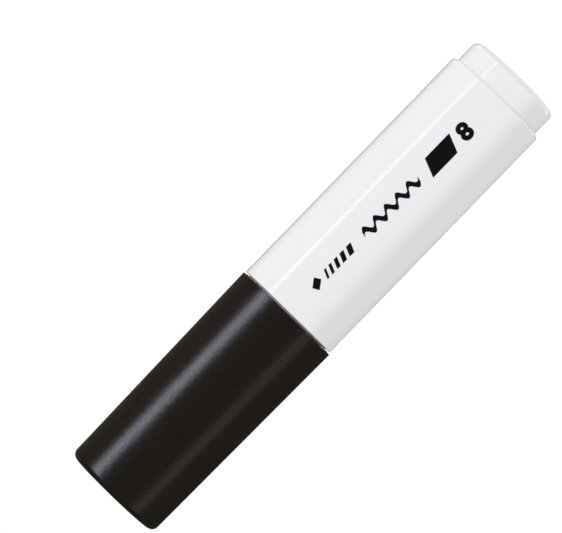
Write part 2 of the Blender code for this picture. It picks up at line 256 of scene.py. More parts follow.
def as_mesh(name: str, shape: bmesh.types.BMesh) -> bpy.types.Mesh:
    """Turns a shape into a mesh, and frees the shape."""
    mesh = bpy.data.meshes.new(name)
    shape.to_mesh(mesh)
    shape.free()
    return mesh


def new_object(name: str, mesh: bpy.types.Mesh) -> bpy.types.Object:
    """Puts a mesh in the scene, at the origin."""
    made = bpy.data.objects.new(name, mesh)
    bpy.context.scene.collection.objects.link(made)
    return made


def thicken(
    shape: bmesh.types.BMesh, faces: Sequence[bmesh.types.BMFace], by: tuple[float, float, float]
) -> None:
    """Extrudes flat faces into a solid.

    Args:
        shape: the shape that holds the faces.
        faces: the faces, which stay as the solid's one side.
        by: the way to the other side.
    """
    grown = bmesh.ops.extrude_face_region(shape, geom=faces)["geom"]
    far = [item for item in grown if isinstance(item, bmesh.types.BMVert)]
    bmesh.ops.translate(shape, verts=far, vec=by)


def slice_up(shape: bmesh.types.BMesh, direction: Vector, heights: Iterable[float]) -> None:
    """Cuts new edges across a whole shape.

    Args:
        shape: the shape.
        direction: the way that every cut faces.
        heights: where each cut lies along that way.
    """
    for height in heights:
        whole = shape.verts[:] + shape.edges[:] + shape.faces[:]
        bmesh.ops.bisect_plane(shape, geom=whole, plane_co=direction * height, plane_no=direction)


def prism(name: str, corners: Sequence[Corner], low: float, high: float) -> bpy.types.Object:
    """Raises an outline along Z.

    Args:
        name: the object's name.
        corners: the outline's corners, as for rounded().
        low: height of its foot.
        high: height of its top.

    Returns:
        The closed solid as an object.
    """
    raised = bmesh.new()
    base = raised.faces.new([raised.verts.new((x, y, low)) for x, y in rounded(corners, PRISM_STEPS)])
    thicken(raised, [base], (0, 0, high - low))
    bmesh.ops.recalc_face_normals(raised, faces=raised.faces)
    return new_object(name, as_mesh(name, raised))


def settle(piece: bpy.types.Object) -> None:
    """Turns a piece's modifiers into plain mesh, and takes them off."""
    bpy.context.view_layer.update()
    graph = bpy.context.evaluated_depsgraph_get()
    mesh = bpy.data.meshes.new_from_object(piece.evaluated_get(graph))
    piece.modifiers.clear()
    piece.data = mesh


def carve(piece: bpy.types.Object, how: Carving, tool: bpy.types.Object) -> None:
    """Cuts a tool out of a piece, keeps what they share or joins them, and removes the tool."""
    modifier = piece.modifiers.new("carving", "BOOLEAN")
    modifier.operation = how.value
    modifier.solver = "EXACT"
    modifier.object = tool
    settle(piece)
    bpy.data.objects.remove(tool)


def dress(
    piece: bpy.types.Object,
    body: Body,
    slot: Slot,
    finish: bpy.types.Material,
    replaced: Sequence[str] = (),
) -> bpy.types.Object:
    """Closes a piece's mesh, gives it its finish and hands it to the frame.

    Args:
        piece: the finished shape.
        body: the body that it rides on.
        slot: the record's material slot for it; not used.
        finish: its material.
        replaced: the CAD nodes that it stands for.

    Returns:
        The same piece.
    """
    surface = bmesh.new()
    surface.from_mesh(piece.data)
    bmesh.ops.remove_doubles(surface, verts=surface.verts, dist=WELD)
    bmesh.ops.recalc_face_normals(surface, faces=surface.faces)
    surface.to_mesh(piece.data)
    surface.free()
    piece.data.shade_smooth()
    piece.data.set_sharp_from_angle(angle=SHARP_ANGLE)
    piece.data.materials.clear()
    piece.data.materials.append(finish)
    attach(piece, body.value)
    if replaced:
        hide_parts(*replaced)
    LOG.info("%s: %d faces on %s", piece.name, len(piece.data.polygons), body.value)
    return piece


# ---------------------------------------------------------------- geometry node trees


@dataclass(frozen=True)
class Maker:
    """A Geometry Nodes tree with named inputs, which turns a seed mesh into a piece."""

    tree: bpy.types.NodeTree

    @staticmethod
    def begin(name: str, inputs: Mapping[str, str]) -> tuple[bpy.types.NodeTree, bpy.types.Node]:
        """Starts a tree.

        Args:
            name: the tree's name.
            inputs: socket type of each input, by name.

        Returns:
            The tree and its Group Input node.
        """
        tree = bpy.data.node_groups.new(name, "GeometryNodeTree")
        tree.interface.new_socket("Seed shape", in_out="INPUT", socket_type="NodeSocketGeometry")
        for socket_name, kind in inputs.items():
            tree.interface.new_socket(socket_name, in_out="INPUT", socket_type=kind)
        tree.interface.new_socket("Finish", in_out="INPUT", socket_type="NodeSocketMaterial")
        tree.interface.new_socket("Shape", in_out="OUTPUT", socket_type="NodeSocketGeometry")
        return tree, add_node(tree, "NodeGroupInput")

    @classmethod
    def end(cls, tree: bpy.types.NodeTree, entry: bpy.types.Node, shape: bpy.types.Node) -> "Maker":
        """Ends a tree with real, dressed geometry.

        Args:
            tree: the tree.
            entry: its Group Input node.
            shape: the node that gives the shape.

        Returns:
            The finished maker.
        """
        real = add_node(tree, "GeometryNodeRealizeInstances", inputs={"Geometry": shape})
        finish = {"Geometry": real, "Material": entry.outputs["Finish"]}
        dressed = add_node(tree, "GeometryNodeSetMaterial", inputs=finish)
        add_node(tree, "NodeGroupOutput", inputs={"Shape": dressed})
        return cls(tree)

    def make(
        self,
        name: str,
        seed: bpy.types.Mesh,
        finish: bpy.types.Material,
        values: Mapping[str, float | int],
    ) -> bpy.types.Object:
        """Runs the tree once, and keeps the result as a plain mesh.

        Args:
            name: the new object's name.
            seed: the mesh that goes into the tree.
            finish: the material that the tree sets.
            values: the other inputs, by name.

        Returns:
            The object, with no modifier left on it.
        """
        piece = new_object(name, seed)
        modifier = piece.modifiers.new("maker", "NODES")
        modifier.node_group = self.tree
        given = {**values, "Finish": finish}
        for socket in self.tree.interface.items_tree:
            if socket.in_out == "INPUT" and socket.name in given:
                modifier[socket.identifier] = given[socket.name]
        settle(piece)
        return piece


def spinning_maker() -> Maker:
    """Tree that spins an outline, the seed's points in order, round Z."""
    tree, entry = Maker.begin("spun_outline", {"Segments": "NodeSocketInt", "Weld": "NodeSocketFloat"})
    outline = entry.outputs["Seed shape"]
    segments = entry.outputs["Segments"]
    size = add_node(tree, "GeometryNodeAttributeDomainSize", inputs={"Geometry": outline})
    rows = size.outputs["Point Count"]
    columns = add_node(tree, MATH, {"operation": "ADD"}, {0: segments, 1: 1.0})
    sheet = add_node(tree, "GeometryNodeMeshGrid", inputs={"Vertices X": columns, "Vertices Y": rows})
    index = add_node(tree, "GeometryNodeInputIndex")
    row = add_node(tree, MATH, {"operation": "MODULO"}, {0: index, 1: rows})
    share = add_node(tree, MATH, {"operation": "DIVIDE"}, {0: index, 1: rows})
    column = add_node(tree, MATH, {"operation": "FLOOR"}, {0: share})
    point = add_node(
        tree,
        "GeometryNodeSampleIndex",
        {"data_type": "FLOAT_VECTOR", "domain": "POINT"},
        {"Geometry": outline, "Value": add_node(tree, "GeometryNodeInputPosition"), "Index": row},
    )
    step = add_node(tree, MATH, {"operation": "DIVIDE"}, {0: math.tau, 1: segments})
    angle = add_node(tree, MATH, {"operation": "MULTIPLY"}, {0: column, 1: step})
    turned = add_node(tree, TURN, {"rotation_type": "Z_AXIS"}, {"Vector": point, "Angle": angle})
    moved = add_node(tree, "GeometryNodeSetPosition", inputs={"Geometry": sheet, "Position": turned})
    weld = {"Geometry": moved, "Distance": entry.outputs["Weld"]}
    return Maker.end(tree, entry, add_node(tree, "GeometryNodeMergeByDistance", inputs=weld))


def ring_maker() -> Maker:
    """Tree that repeats the seed shape round Z."""
    tree, entry = Maker.begin("ring_of_shapes", {"Count": "NodeSocketInt"})
    count = entry.outputs["Count"]
    points = add_node(tree, "GeometryNodePoints", inputs={"Count": count})
    index = add_node(tree, "GeometryNodeInputIndex")
    step = add_node(tree, MATH, {"operation": "DIVIDE"}, {0: math.tau, 1: count})
    angle = add_node(tree, MATH, {"operation": "MULTIPLY"}, {0: index, 1: step})
    turn = add_node(tree, "ShaderNodeCombineXYZ", inputs={2: angle})
    copies = {"Points": points, "Instance": entry.outputs["Seed shape"], "Rotation": turn}
    return Maker.end(tree, entry, add_node(tree, "GeometryNodeInstanceOnPoints", inputs=copies))


def coil_maker() -> Maker:
    """Tree that winds a compression spring with closed ends; the seed is left out."""
    sizes = ("Turns", "Coil radius", "Wire radius", "Foot", "End rise", "Open rise")
    inputs = dict.fromkeys(sizes, "NodeSocketFloat")
    tree, entry = Maker.begin("wound_spring", {**inputs, "Steps per turn": "NodeSocketInt"})
    turns, steps = entry.outputs["Turns"], entry.outputs["Steps per turn"]
    count = add_node(tree, MATH, {"operation": "MULTIPLY_ADD"}, {0: turns, 1: steps, 2: 1.0})
    line = add_node(tree, "GeometryNodeMeshLine", inputs={"Count": count})
    index = add_node(tree, "GeometryNodeInputIndex")
    turn = add_node(tree, MATH, {"operation": "DIVIDE"}, {0: index, 1: steps})
    last = add_node(tree, MATH, {"operation": "SUBTRACT"}, {0: turns, 1: 1.0})
    height = entry.outputs["Foot"]
    parts = ((0.0, 1.0, "End rise"), (1.0, last, "Open rise"), (last, turns, "End rise"))
    for start, end, rise in parts:
        span = {"Value": turn, "From Min": start, "From Max": end, "To Max": entry.outputs[rise]}
        part = add_node(tree, MAP_RANGE, inputs=span)
        height = add_node(tree, MATH, {"operation": "ADD"}, {0: height, 1: part})
    reach = add_node(tree, "ShaderNodeCombineXYZ", inputs={0: entry.outputs["Coil radius"], 2: height})
    angle = add_node(tree, MATH, {"operation": "MULTIPLY"}, {0: turn, 1: math.tau})
    place = add_node(tree, TURN, {"rotation_type": "Z_AXIS"}, {"Vector": reach, "Angle": angle})
    wound = add_node(tree, "GeometryNodeSetPosition", inputs={"Geometry": line, "Position": place})
    path = add_node(tree, "GeometryNodeMeshToCurve", inputs={0: wound})
    section = add_node(
        tree,
        "GeometryNodeCurvePrimitiveCircle",
        inputs={"Resolution": WIRE_SIDES, "Radius": entry.outputs["Wire radius"]},
    )
    sweep = {"Curve": path, "Profile Curve": section, "Fill Caps": True}
    return Maker.end(tree, entry, add_node(tree, "GeometryNodeCurveToMesh", inputs=sweep))


def fuzz_maker() -> Maker:
    """Tree that stands short loose fibres on the seed's surface."""
    sizes = ("Fibres per area", "Fibre length", "Fibre radius", "Lean")
    inputs = dict.fromkeys(sizes, "NodeSocketFloat")
    tree, entry = Maker.begin("loose_fibres", {**inputs, "Random seed": "NodeSocketInt"})
    given = entry.outputs
    spread = {"Density": given["Fibres per area"], "Seed": given["Random seed"]}
    spots = add_node(
        tree,
        "GeometryNodeDistributePointsOnFaces",
        {"distribute_method": "RANDOM"},
        {"Mesh": given["Seed shape"], **spread},
    )
    taper = {"Vertices": FIBRE_SIDES, "Radius Top": 0.0, "Radius Bottom": given["Fibre radius"]}
    fibre = add_node(tree, "GeometryNodeMeshCone", inputs={**taper, "Depth": given["Fibre length"]})
    lean = add_node(
        tree,
        "FunctionNodeRandomValue",
        {"data_type": "FLOAT_VECTOR"},
        {**LEAN_SPAN, "Seed": given["Random seed"]},
    )
    leaning = add_node(
        tree, "ShaderNodeVectorMath", {"operation": "SCALE"}, {0: lean, "Scale": given["Lean"]}
    )
    tilted = add_node(
        tree,
        "FunctionNodeRotateRotation",
        {"rotation_space": "LOCAL"},
        {0: spots.outputs["Rotation"], 1: leaning},
    )
    copies = {"Points": spots, "Instance": fibre, "Rotation": tilted}
    return Maker.end(tree, entry, add_node(tree, "GeometryNodeInstanceOnPoints", inputs=copies))


@dataclass
class Workshop:
    """The makers that every sub-assembly shares."""

    spinner: Maker = field(default_factory=spinning_maker)
    ring: Maker = field(default_factory=ring_maker)
    coil: Maker = field(default_factory=coil_maker)
    fuzz: Maker = field(default_factory=fuzz_maker)

    def turn(
        self,
        name: str,
        corners: Sequence[Corner],
        finish: bpy.types.Material,
        foot: float = 0.0,
        segments: int = SEGMENTS,
    ) -> bpy.types.Object:
        """Turns a round piece from its outline.

        Args:
            name: the piece's name.
            corners: (radius, height) or (radius, height, fillet) from the foot. An outline that
                starts on the axis also ends there, and any other closes on itself.
            finish: the piece's material.
            foot: height that the corners count from.
            segments: how many flats stand for the circle.

        Returns:
            The closed piece.
        """
        points = [(x, 0.0, foot + y) for x, y in rounded(corners)]
        if corners[0][0] > 0:
            points.append(points[0])
        outline = bpy.data.meshes.new(name)
        outline.from_pydata(points, [], [])
        return self.spinner.make(name, outline, finish, {"Segments": segments, "Weld": WELD})


# ---------------------------------------------------------------- finishes


def lay_noises(
    tree: bpy.types.NodeTree, stretch: tuple[float, float, float], *grains: tuple[float, float]
) -> list[bpy.types.Node]:
    """Lays noise patterns on a piece's Object coordinates.

    Args:
        tree: the material's tree.
        stretch: how tightly the patterns are packed along X, Y and Z.
        grains: width and detail of each pattern.

    Returns:
        One noise node for each pattern.
    """
    coordinates = add_node(tree, "ShaderNodeTexCoord").outputs["Object"]
    place = add_node(tree, "ShaderNodeMapping", inputs={"Vector": coordinates, "Scale": stretch})
    patterns = [{"Vector": place, "Scale": 1 / width, "Detail": detail} for width, detail in grains]
    return [add_node(tree, "ShaderNodeTexNoise", inputs=pattern) for pattern in patterns]


@dataclass(frozen=True)
class Finish:
    """What every finish shares: its name, and how its material starts."""

    name: str

    def start(self, values: Mapping[str, object]) -> tuple[bpy.types.Material, bpy.types.Node]:
        """Starts the material.

        Args:
            values: the shader's plain values.

        Returns:
            The material and its Principled shader.
        """
        made = bpy.data.materials.new(self.name)
        made.use_nodes = True
        shader = made.node_tree.nodes["Principled BSDF"]
        feed(shader, values)
        return made, shader


@dataclass(frozen=True)
class Moulding(Finish):
    """A moulded plastic or rubber: a body colour, a tool-surface grain and slow uneven gloss."""

    colour: str
    shade: str
    roughness: tuple[float, float]
    ior: float
    grain: float
    grain_height: float
    ripple: float
    ripple_height: float
    stretch: tuple[float, float, float] = (1.0, 1.0, 1.0)
    sparkle: float = 0.0
    translucency: float = 0.0
    depth: float = 1.0 * MM

    def material(self) -> bpy.types.Material:
        """Builds the finish as a Principled material on Object coordinates."""
        made, shader = self.start({"IOR": self.ior})
        tree = made.node_tree
        if self.translucency:
            body = {"Subsurface Weight": self.translucency, "Subsurface Scale": self.depth}
            feed(shader, {**body, "Subsurface Radius": (1.0, 1.0, 0.9)})
        slow, fine = lay_noises(tree, self.stretch, (self.ripple, 3.0), (self.grain, 2.0))
        tones = {MIX_FACTOR: slow, MIX_A: linear(self.colour), MIX_B: linear(self.shade)}
        colours = add_node(tree, "ShaderNodeMix", {"data_type": "RGBA"}, tones)
        dull, duller = self.roughness
        uneven = {"Value": slow, **MIDDLE_OF_NOISE, "To Min": dull, "To Max": duller}
        gloss = add_node(tree, MAP_RANGE, inputs=uneven)
        if self.sparkle:
            least, most = 0.5 - self.sparkle, 0.5 + self.sparkle
            glints = {"Value": fine, **MIDDLE_OF_NOISE, "To Min": least, "To Max": most}
            feed(shader, {"Specular IOR Level": add_node(tree, MAP_RANGE, inputs=glints)})
        relief = {"Height": slow, "Distance": self.ripple_height}
        swell = add_node(tree, "ShaderNodeBump", inputs=relief)
        relief = {"Height": fine, "Distance": self.grain_height, "Normal": swell}
        surface = {"Roughness": gloss, "Normal": add_node(tree, "ShaderNodeBump", inputs=relief)}
        feed(shader, {**surface, "Base Color": colours.outputs[MIX_RESULT]})
        return made


# Black polypropylene out of a finely spark-eroded mould: a satin that spreads each light into a
# soft band. The grain sparkles in that band; it is drawn at 0.4 mm, so that it shows at all.
CAP_POLYPROPYLENE = Moulding(
    name="satin_black_moulded_polypropylene",
    colour="#1E1A15",
    shade="#201C17",
    roughness=(0.22, 0.25),
    ior=1.49,
    grain=0.38 * MM,
    grain_height=0.025 * MM,
    ripple=9.0 * MM,
    ripple_height=0.010 * MM,
    sparkle=0.16,
)

# White polypropylene out of a polished mould: a hard gloss over a slightly milky body, with the
# long shallow ripples that the plastic's flow leaves along a tube.
BARREL_POLYPROPYLENE = Moulding(
    name="gloss_white_moulded_polypropylene",
    colour="#F1EFF0",
    shade="#EFEEEF",
    roughness=(0.06, 0.09),
    ior=1.49,
    grain=1.2 * MM,
    grain_height=0.0006 * MM,
    ripple=5.0 * MM,
    ripple_height=0.020 * MM,
    stretch=(1.0, 1.0, 0.25),
    translucency=0.12,
    depth=0.8 * MM,
)

# White acetal for the front section: whiter and duller than the barrel, with a fine even grain.
HOLDER_ACETAL = Moulding(
    name="semi_matt_white_moulded_acetal",
    colour="#E9E9E7",
    shade="#E4E4E2",
    roughness=(0.30, 0.38),
    ior=1.48,
    grain=0.25 * MM,
    grain_height=0.003 * MM,
    ripple=4.0 * MM,
    ripple_height=0.004 * MM,
    translucency=0.08,
)

# Natural low-density polyethylene: waxy and cloudy, so that light soaks into its thin wall.
LINER_POLYETHYLENE = Moulding(
    name="waxy_natural_moulded_polyethylene",
    colour="#E3E4DF",
    shade="#D9DBD6",
    roughness=(0.38, 0.48),
    ior=1.51,
    grain=0.35 * MM,
    grain_height=0.003 * MM,
    ripple=3.0 * MM,
    ripple_height=0.008 * MM,
    translucency=0.45,
    depth=2.0 * MM,
)

# Natural polypropylene for the valve: greyer than the liner, with visible flow clouds.
VALVE_POLYPROPYLENE = Moulding(
    name="natural_moulded_polypropylene",
    colour="#CED2D3",
    shade="#C2C7C9",
    roughness=(0.30, 0.42),
    ior=1.49,
    grain=0.30 * MM,
    grain_height=0.003 * MM,
    ripple=2.5 * MM,
    ripple_height=0.006 * MM,
    translucency=0.3,
    depth=1.5 * MM,
)

# Nitrile rubber: a dull black with a faint bloom.
SEAL_NITRILE = Moulding(
    name="black_moulded_nitrile_rubber",
    colour="#1B1B1B",
    shade="#272625",
    roughness=(0.60, 0.75),
    ior=1.52,
    grain=0.12 * MM,
    grain_height=0.004 * MM,
    ripple=1.5 * MM,
    ripple_height=0.004 * MM,
)

# Pad-printed ink: a thin dense black film, a little duller than the gloss under it and with the
# faint mottle of the pad.
PRINT_INK = Moulding(
    name="black_pad_printed_ink",
    colour="#15130F",
    shade="#1A1814",
    roughness=(0.28, 0.36),
    ior=1.50,
    grain=0.20 * MM,
    grain_height=0.002 * MM,
    ripple=1.2 * MM,
    ripple_height=0.002 * MM,
)


@dataclass(frozen=True)
class BondedFelt(Finish):
    """Bonded polyester fibre: off-white, quite matt, streaked along the nib by its fibres."""

    name: str = "bonded_polyester_fibre"
    bright: str = "#EFEDE6"
    dark: str = "#C9C4B8"
    roughness: float = 0.9
    ior: float = 1.55
    sheen: float = 0.25
    sheen_roughness: float = 0.5
    fibre_width: float = 0.12 * MM
    fibre_length: float = 3.0 * MM
    relief: float = 0.03 * MM

    def material(self) -> bpy.types.Material:
        """Builds the finish as a Principled material whose streaks run along Z."""
        bulk = {"IOR": self.ior, "Roughness": self.roughness}
        made, shader = self.start(
            {**bulk, "Sheen Weight": self.sheen, "Sheen Roughness": self.sheen_roughness}
        )
        tree = made.node_tree
        stretch = (1.0, 1.0, self.fibre_width / self.fibre_length)
        (fibres,) = lay_noises(tree, stretch, (self.fibre_width, 4.0))
        contrast = add_node(tree, MAP_RANGE, inputs={"Value": fibres, **CORE_OF_NOISE})
        tones = {MIX_FACTOR: contrast, MIX_A: linear(self.dark), MIX_B: linear(self.bright)}
        colours = add_node(tree, "ShaderNodeMix", {"data_type": "RGBA"}, tones)
        relief = add_node(tree, "ShaderNodeBump", inputs={"Height": contrast, "Distance": self.relief})
        feed(shader, {"Base Color": colours.outputs[MIX_RESULT], "Normal": relief})
        return made


@dataclass(frozen=True)
class BareSteel(Finish):
    """Steel with no coating: its marks run the way it was worked."""

    colour: str
    roughness: tuple[float, float]
    mark_width: float
    mark_stretch: tuple[float, float, float]
    mark_depth: float

    def material(self) -> bpy.types.Material:
        """Builds the finish as a metallic Principled material with fine working marks."""
        made, shader = self.start({"Metallic": 1.0, "Base Color": linear(self.colour)})
        tree = made.node_tree
        (marks,) = lay_noises(tree, self.mark_stretch, (self.mark_width, 3.0))
        bright, dull = self.roughness
        uneven = {"Value": marks, **CORE_OF_NOISE, "To Min": bright, "To Max": dull}
        gloss = add_node(tree, MAP_RANGE, inputs=uneven)
        relief = add_node(tree, "ShaderNodeBump", inputs={"Height": marks, "Distance": self.mark_depth})
        feed(shader, {"Roughness": gloss, "Normal": relief})
        return made


# Drawn stainless wire: bright, with fine die lines round each turn.
SPRING_WIRE = BareSteel(
    name="drawn_stainless_wire",
    colour="#C6C5C2",
    roughness=(0.22, 0.34),
    mark_width=0.06 * MM,
    mark_stretch=(0.3, 0.3, 1.0),
    mark_depth=0.002 * MM,
)

# Ground and tumbled bearing steel: nearly a mirror, with a faint haze of scratches.
BALL_STEEL = BareSteel(
    name="tumbled_bearing_steel",
    colour="#CCCBC9",
    roughness=(0.10, 0.20),
    mark_width=0.25 * MM,
    mark_stretch=(1.0, 0.25, 1.0),
    mark_depth=0.001 * MM,
)


# ---------------------------------------------------------------- sub-assemblies


@dataclass
class Cap:
    """Black outer cap with its centring ribs, and the soft liner inside."""

    mouth_radius: float = 13.36 * MM
    end_radius: float = 12.56 * MM
    end_fillet: float = 1.7 * MM
    mouth_bore: float = 12.1 * MM
    lip_radius: float = 12.6 * MM
    lip_height: float = 0.15 * MM
    rim_drop: float = 0.2 * MM
    edge_fillet: float = 0.06 * MM
    waist_bore: float = 11.75 * MM
    end_bore: float = 11.31 * MM
    end_wall: float = 1.6 * MM
    groove_height: float = 5.7 * MM
    groove_depth: float = 0.25 * MM
    groove_halves: tuple[float, float] = (-1.1 * MM, -0.7 * MM)
    waist_height: float = 11.0 * MM
    gate_radius: float = 1.3 * MM
    gate_depth: float = 0.25 * MM
    nub_radius: float = 0.35 * MM
    rib_count: int = 6
    rib_inner: float = 9.05 * MM
    rib_outer: float = 11.81 * MM
    rib_thickness: float = 1.0 * MM
    rib_start: float = 24.6 * MM
    rib_lead_in: float = 1.2 * MM
    rib_overlap: float = 0.4 * MM
    liner_radius: float = 8.95 * MM
    liner_bore: float = 8.05 * MM
    liner_upper_bore: float = 7.8 * MM
    liner_wall: float = 1.0 * MM
    nose_height: float = 9.4 * MM

    def build(self, workshop: Workshop) -> None:
        """Builds and dresses the cap's pieces."""
        plastic = CAP_POLYPROPYLENE.material()
        self.build_shell(workshop, plastic)
        self.build_ribs(workshop, plastic)
        self.build_liner(workshop, LINER_POLYETHYLENE.material())

    def build_shell(self, workshop: Workshop, plastic: bpy.types.Material) -> None:
        """Turns the outer cap, with a dimple at the mould's gate and a fine-edged rim."""
        low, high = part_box("cap_shell")
        length = high.z - low.z
        floor = length - self.end_wall
        groove = self.mouth_bore + self.groove_depth
        lip = -self.rim_drop - self.lip_height
        dimple = length - self.gate_depth
        outline = [
            (0, floor),
            (self.end_bore, floor, BROAD),
            (self.waist_bore, self.waist_height, ROUND),
            (self.mouth_bore, self.waist_height - 0.6 * MM, SOFT),
            *band(self.mouth_bore, groove, self.groove_height, self.groove_halves, (SMALL, SMALL)),
            (self.mouth_bore, 0.4 * MM, CRISP),
            (self.mouth_bore + 0.2 * MM, lip, self.edge_fillet),
            (self.lip_radius, lip, self.edge_fillet),
            (self.lip_radius, -self.rim_drop, self.edge_fillet),
            (self.mouth_radius, -self.rim_drop, 0.16 * MM),
            (self.end_radius, length, self.end_fillet),
            (self.gate_radius + FINE, length, CRISP),
            (self.gate_radius, dimple, CRISP),
            (self.nub_radius, dimple, self.edge_fillet),
            (self.nub_radius, dimple + NUB_HEIGHT, self.edge_fillet),
            (0, dimple + NUB_HEIGHT),
        ]
        shell = workshop.turn("cap_outer", outline, plastic, foot=low.z)
        dress(shell, Body.CAP, Slot.CAP_BLACK, plastic, ["cap_shell"])

    def build_ribs(self, workshop: Workshop, plastic: bpy.types.Material) -> None:
        """Sets the centring ribs round the inside of the cap, each with a rounded lead-in."""
        low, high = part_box("cap_shell")
        inner, outer = self.rib_inner, self.rib_outer
        foot = low.z + self.rib_start
        top = high.z - self.end_wall + self.rib_overlap
        outline = rounded([(inner, foot, self.rib_lead_in), (outer, foot), (outer, top), (inner, top)])
        rib = bmesh.new()
        half = self.rib_thickness / 2
        side = rib.faces.new([rib.verts.new((x, -half, z)) for x, z in outline])
        thicken(rib, [side], (0, self.rib_thickness, 0))
        bmesh.ops.recalc_face_normals(rib, faces=rib.faces)
        count = {"Count": self.rib_count}
        ribs = workshop.ring.make("cap_ribs", as_mesh("cap_rib", rib), plastic, count)
        dress(ribs, Body.CAP, Slot.CAP_BLACK, plastic, ["cap_shell"])

    def build_liner(self, workshop: Workshop, plastic: bpy.types.Material) -> None:
        """Turns the soft liner that closes on the nose."""
        low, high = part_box("inner_cap")
        top = high.z - low.z
        ceiling = top - self.liner_wall
        outline = [
            (0, ceiling),
            (self.liner_upper_bore, ceiling, BROAD),
            (self.liner_upper_bore, self.nose_height, SOFT),
            (self.liner_bore, self.nose_height - 0.8 * MM, SOFT),
            (self.liner_bore, 1.2 * MM, SOFT),
            (self.liner_bore + 0.55 * MM, 0, CRISP),
            (self.liner_radius, 0, FINE),
            (self.liner_radius, top, BROAD),
            (0, top),
        ]
        liner = workshop.turn("cap_liner", outline, plastic, foot=low.z)
        dress(liner, Body.CAP, Slot.LINER_NATURAL, plastic, ["inner_cap"])


@dataclass
class Barrel:
    """White tube with its beaded neck, and the plug that closes its tail."""

    radius: float = 13.1 * MM
    bore: float = 11.4 * MM
    neck_radius: float = 11.75 * MM
    bead_radius: float = 12.0 * MM
    bead_height: float = 6.0 * MM
    neck_bore: float = 9.9 * MM
    waist_top: float = 1.4 * MM
    waist_foot: float = 3.6 * MM
    waist_fillet: float = 0.5 * MM
    chamfer: float = 0.4 * MM
    chamfer_fillet: float = 0.12 * MM
    tail_fillet: float = 0.7 * MM
    seam: float = 0.66 * MM
    plug_radius: float = 12.0 * MM
    plug_fillet: float = 1.6 * MM
    plug_insert: float = 11.1 * MM
    plug_clearance: float = 0.015 * MM
    plug_rib: float = 11.3 * MM
    plug_rib_heights: tuple[float, ...] = (8.6 * MM, 11.2 * MM)
    plug_rib_halves: tuple[float, float] = (0.5 * MM, 0.2 * MM)
    plug_bore: float = 9.9 * MM
    plug_floor: float = 1.8 * MM
    gate_radius: float = 1.6 * MM
    gate_depth: float = 0.3 * MM
    nub_radius: float = 0.4 * MM

    def build(self, workshop: Workshop) -> None:
        """Builds and dresses the barrel and its plug."""
        plastic = BARREL_POLYPROPYLENE.material()
        self.build_tube(workshop, plastic)
        self.build_plug(workshop, plastic)

    def build_tube(self, workshop: Workshop, plastic: bpy.types.Material) -> None:
        """Turns the tube. Its shoulder stops a hair below the cap, which leaves the dark seam."""
        low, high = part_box("barrel")
        cap_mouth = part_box("cap_shell")[0].z
        shoulder = cap_mouth - self.seam - low.z
        bead = cap_mouth + self.bead_height - low.z
        top = high.z - low.z
        outline = [
            (self.bore + self.chamfer, 0, CRISP),
            (self.radius, 0, self.tail_fillet),
            (self.radius, shoulder, 0.18 * MM),
            (self.neck_radius, shoulder, FINE),
            (self.neck_radius, bead - 0.9 * MM, EASED),
            (self.bead_radius, bead - 0.4 * MM, EASED),
            (self.bead_radius, bead + 0.2 * MM, EASED),
            (self.neck_radius, bead + 0.9 * MM, EASED),
            (self.neck_radius, top - self.chamfer, self.chamfer_fillet),
            (self.neck_radius - self.chamfer, top, self.chamfer_fillet),
            (self.neck_bore, top, CRISP),
            (self.neck_bore, shoulder - self.waist_top, self.waist_fillet),
            (self.bore, shoulder - self.waist_foot, self.waist_fillet),
            (self.bore, self.chamfer, CRISP),
        ]
        tube = workshop.turn("barrel_tube", outline, plastic, foot=low.z)
        dress(tube, Body.BARREL, Slot.BARREL_WHITE, plastic, ["barrel"])

    def build_plug(self, workshop: Workshop, plastic: bpy.types.Material) -> None:
        """Turns the tail plug, with its seal ribs and a sunk gate mark under its end."""
        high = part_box("tail_plug")[1]
        collar_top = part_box("barrel")[0].z - self.plug_clearance
        gate, nub = self.gate_depth, self.nub_radius
        nub_fillet = 0.05 * MM
        seal_ribs: list[Corner] = []
        for height in self.plug_rib_heights:
            fillets = (CRISP, 0.08 * MM)
            seal_ribs += band(self.plug_insert, self.plug_rib, height, self.plug_rib_halves, fillets)
        outline = [
            (0, gate - NUB_HEIGHT),
            (nub, gate - NUB_HEIGHT, nub_fillet),
            (nub, gate, nub_fillet),
            (self.gate_radius, gate, CRISP),
            (self.gate_radius + FINE, 0, CRISP),
            (self.plug_radius, 0, self.plug_fillet),
            (self.plug_radius, collar_top, CRISP),
            (self.plug_insert, collar_top, FINE),
            *seal_ribs,
            (self.plug_insert, high.z - 0.6 * MM, FINE),
            (self.plug_insert - self.chamfer, high.z, self.chamfer_fillet),
            (self.plug_bore, high.z, FINE),
            (self.plug_bore, self.plug_floor, 1.2 * MM),
            (0, self.plug_floor),
        ]
        plug = workshop.turn("barrel_plug", outline, plastic)
        dress(plug, Body.BARREL, Slot.BARREL_WHITE, plastic, ["tail_plug"])


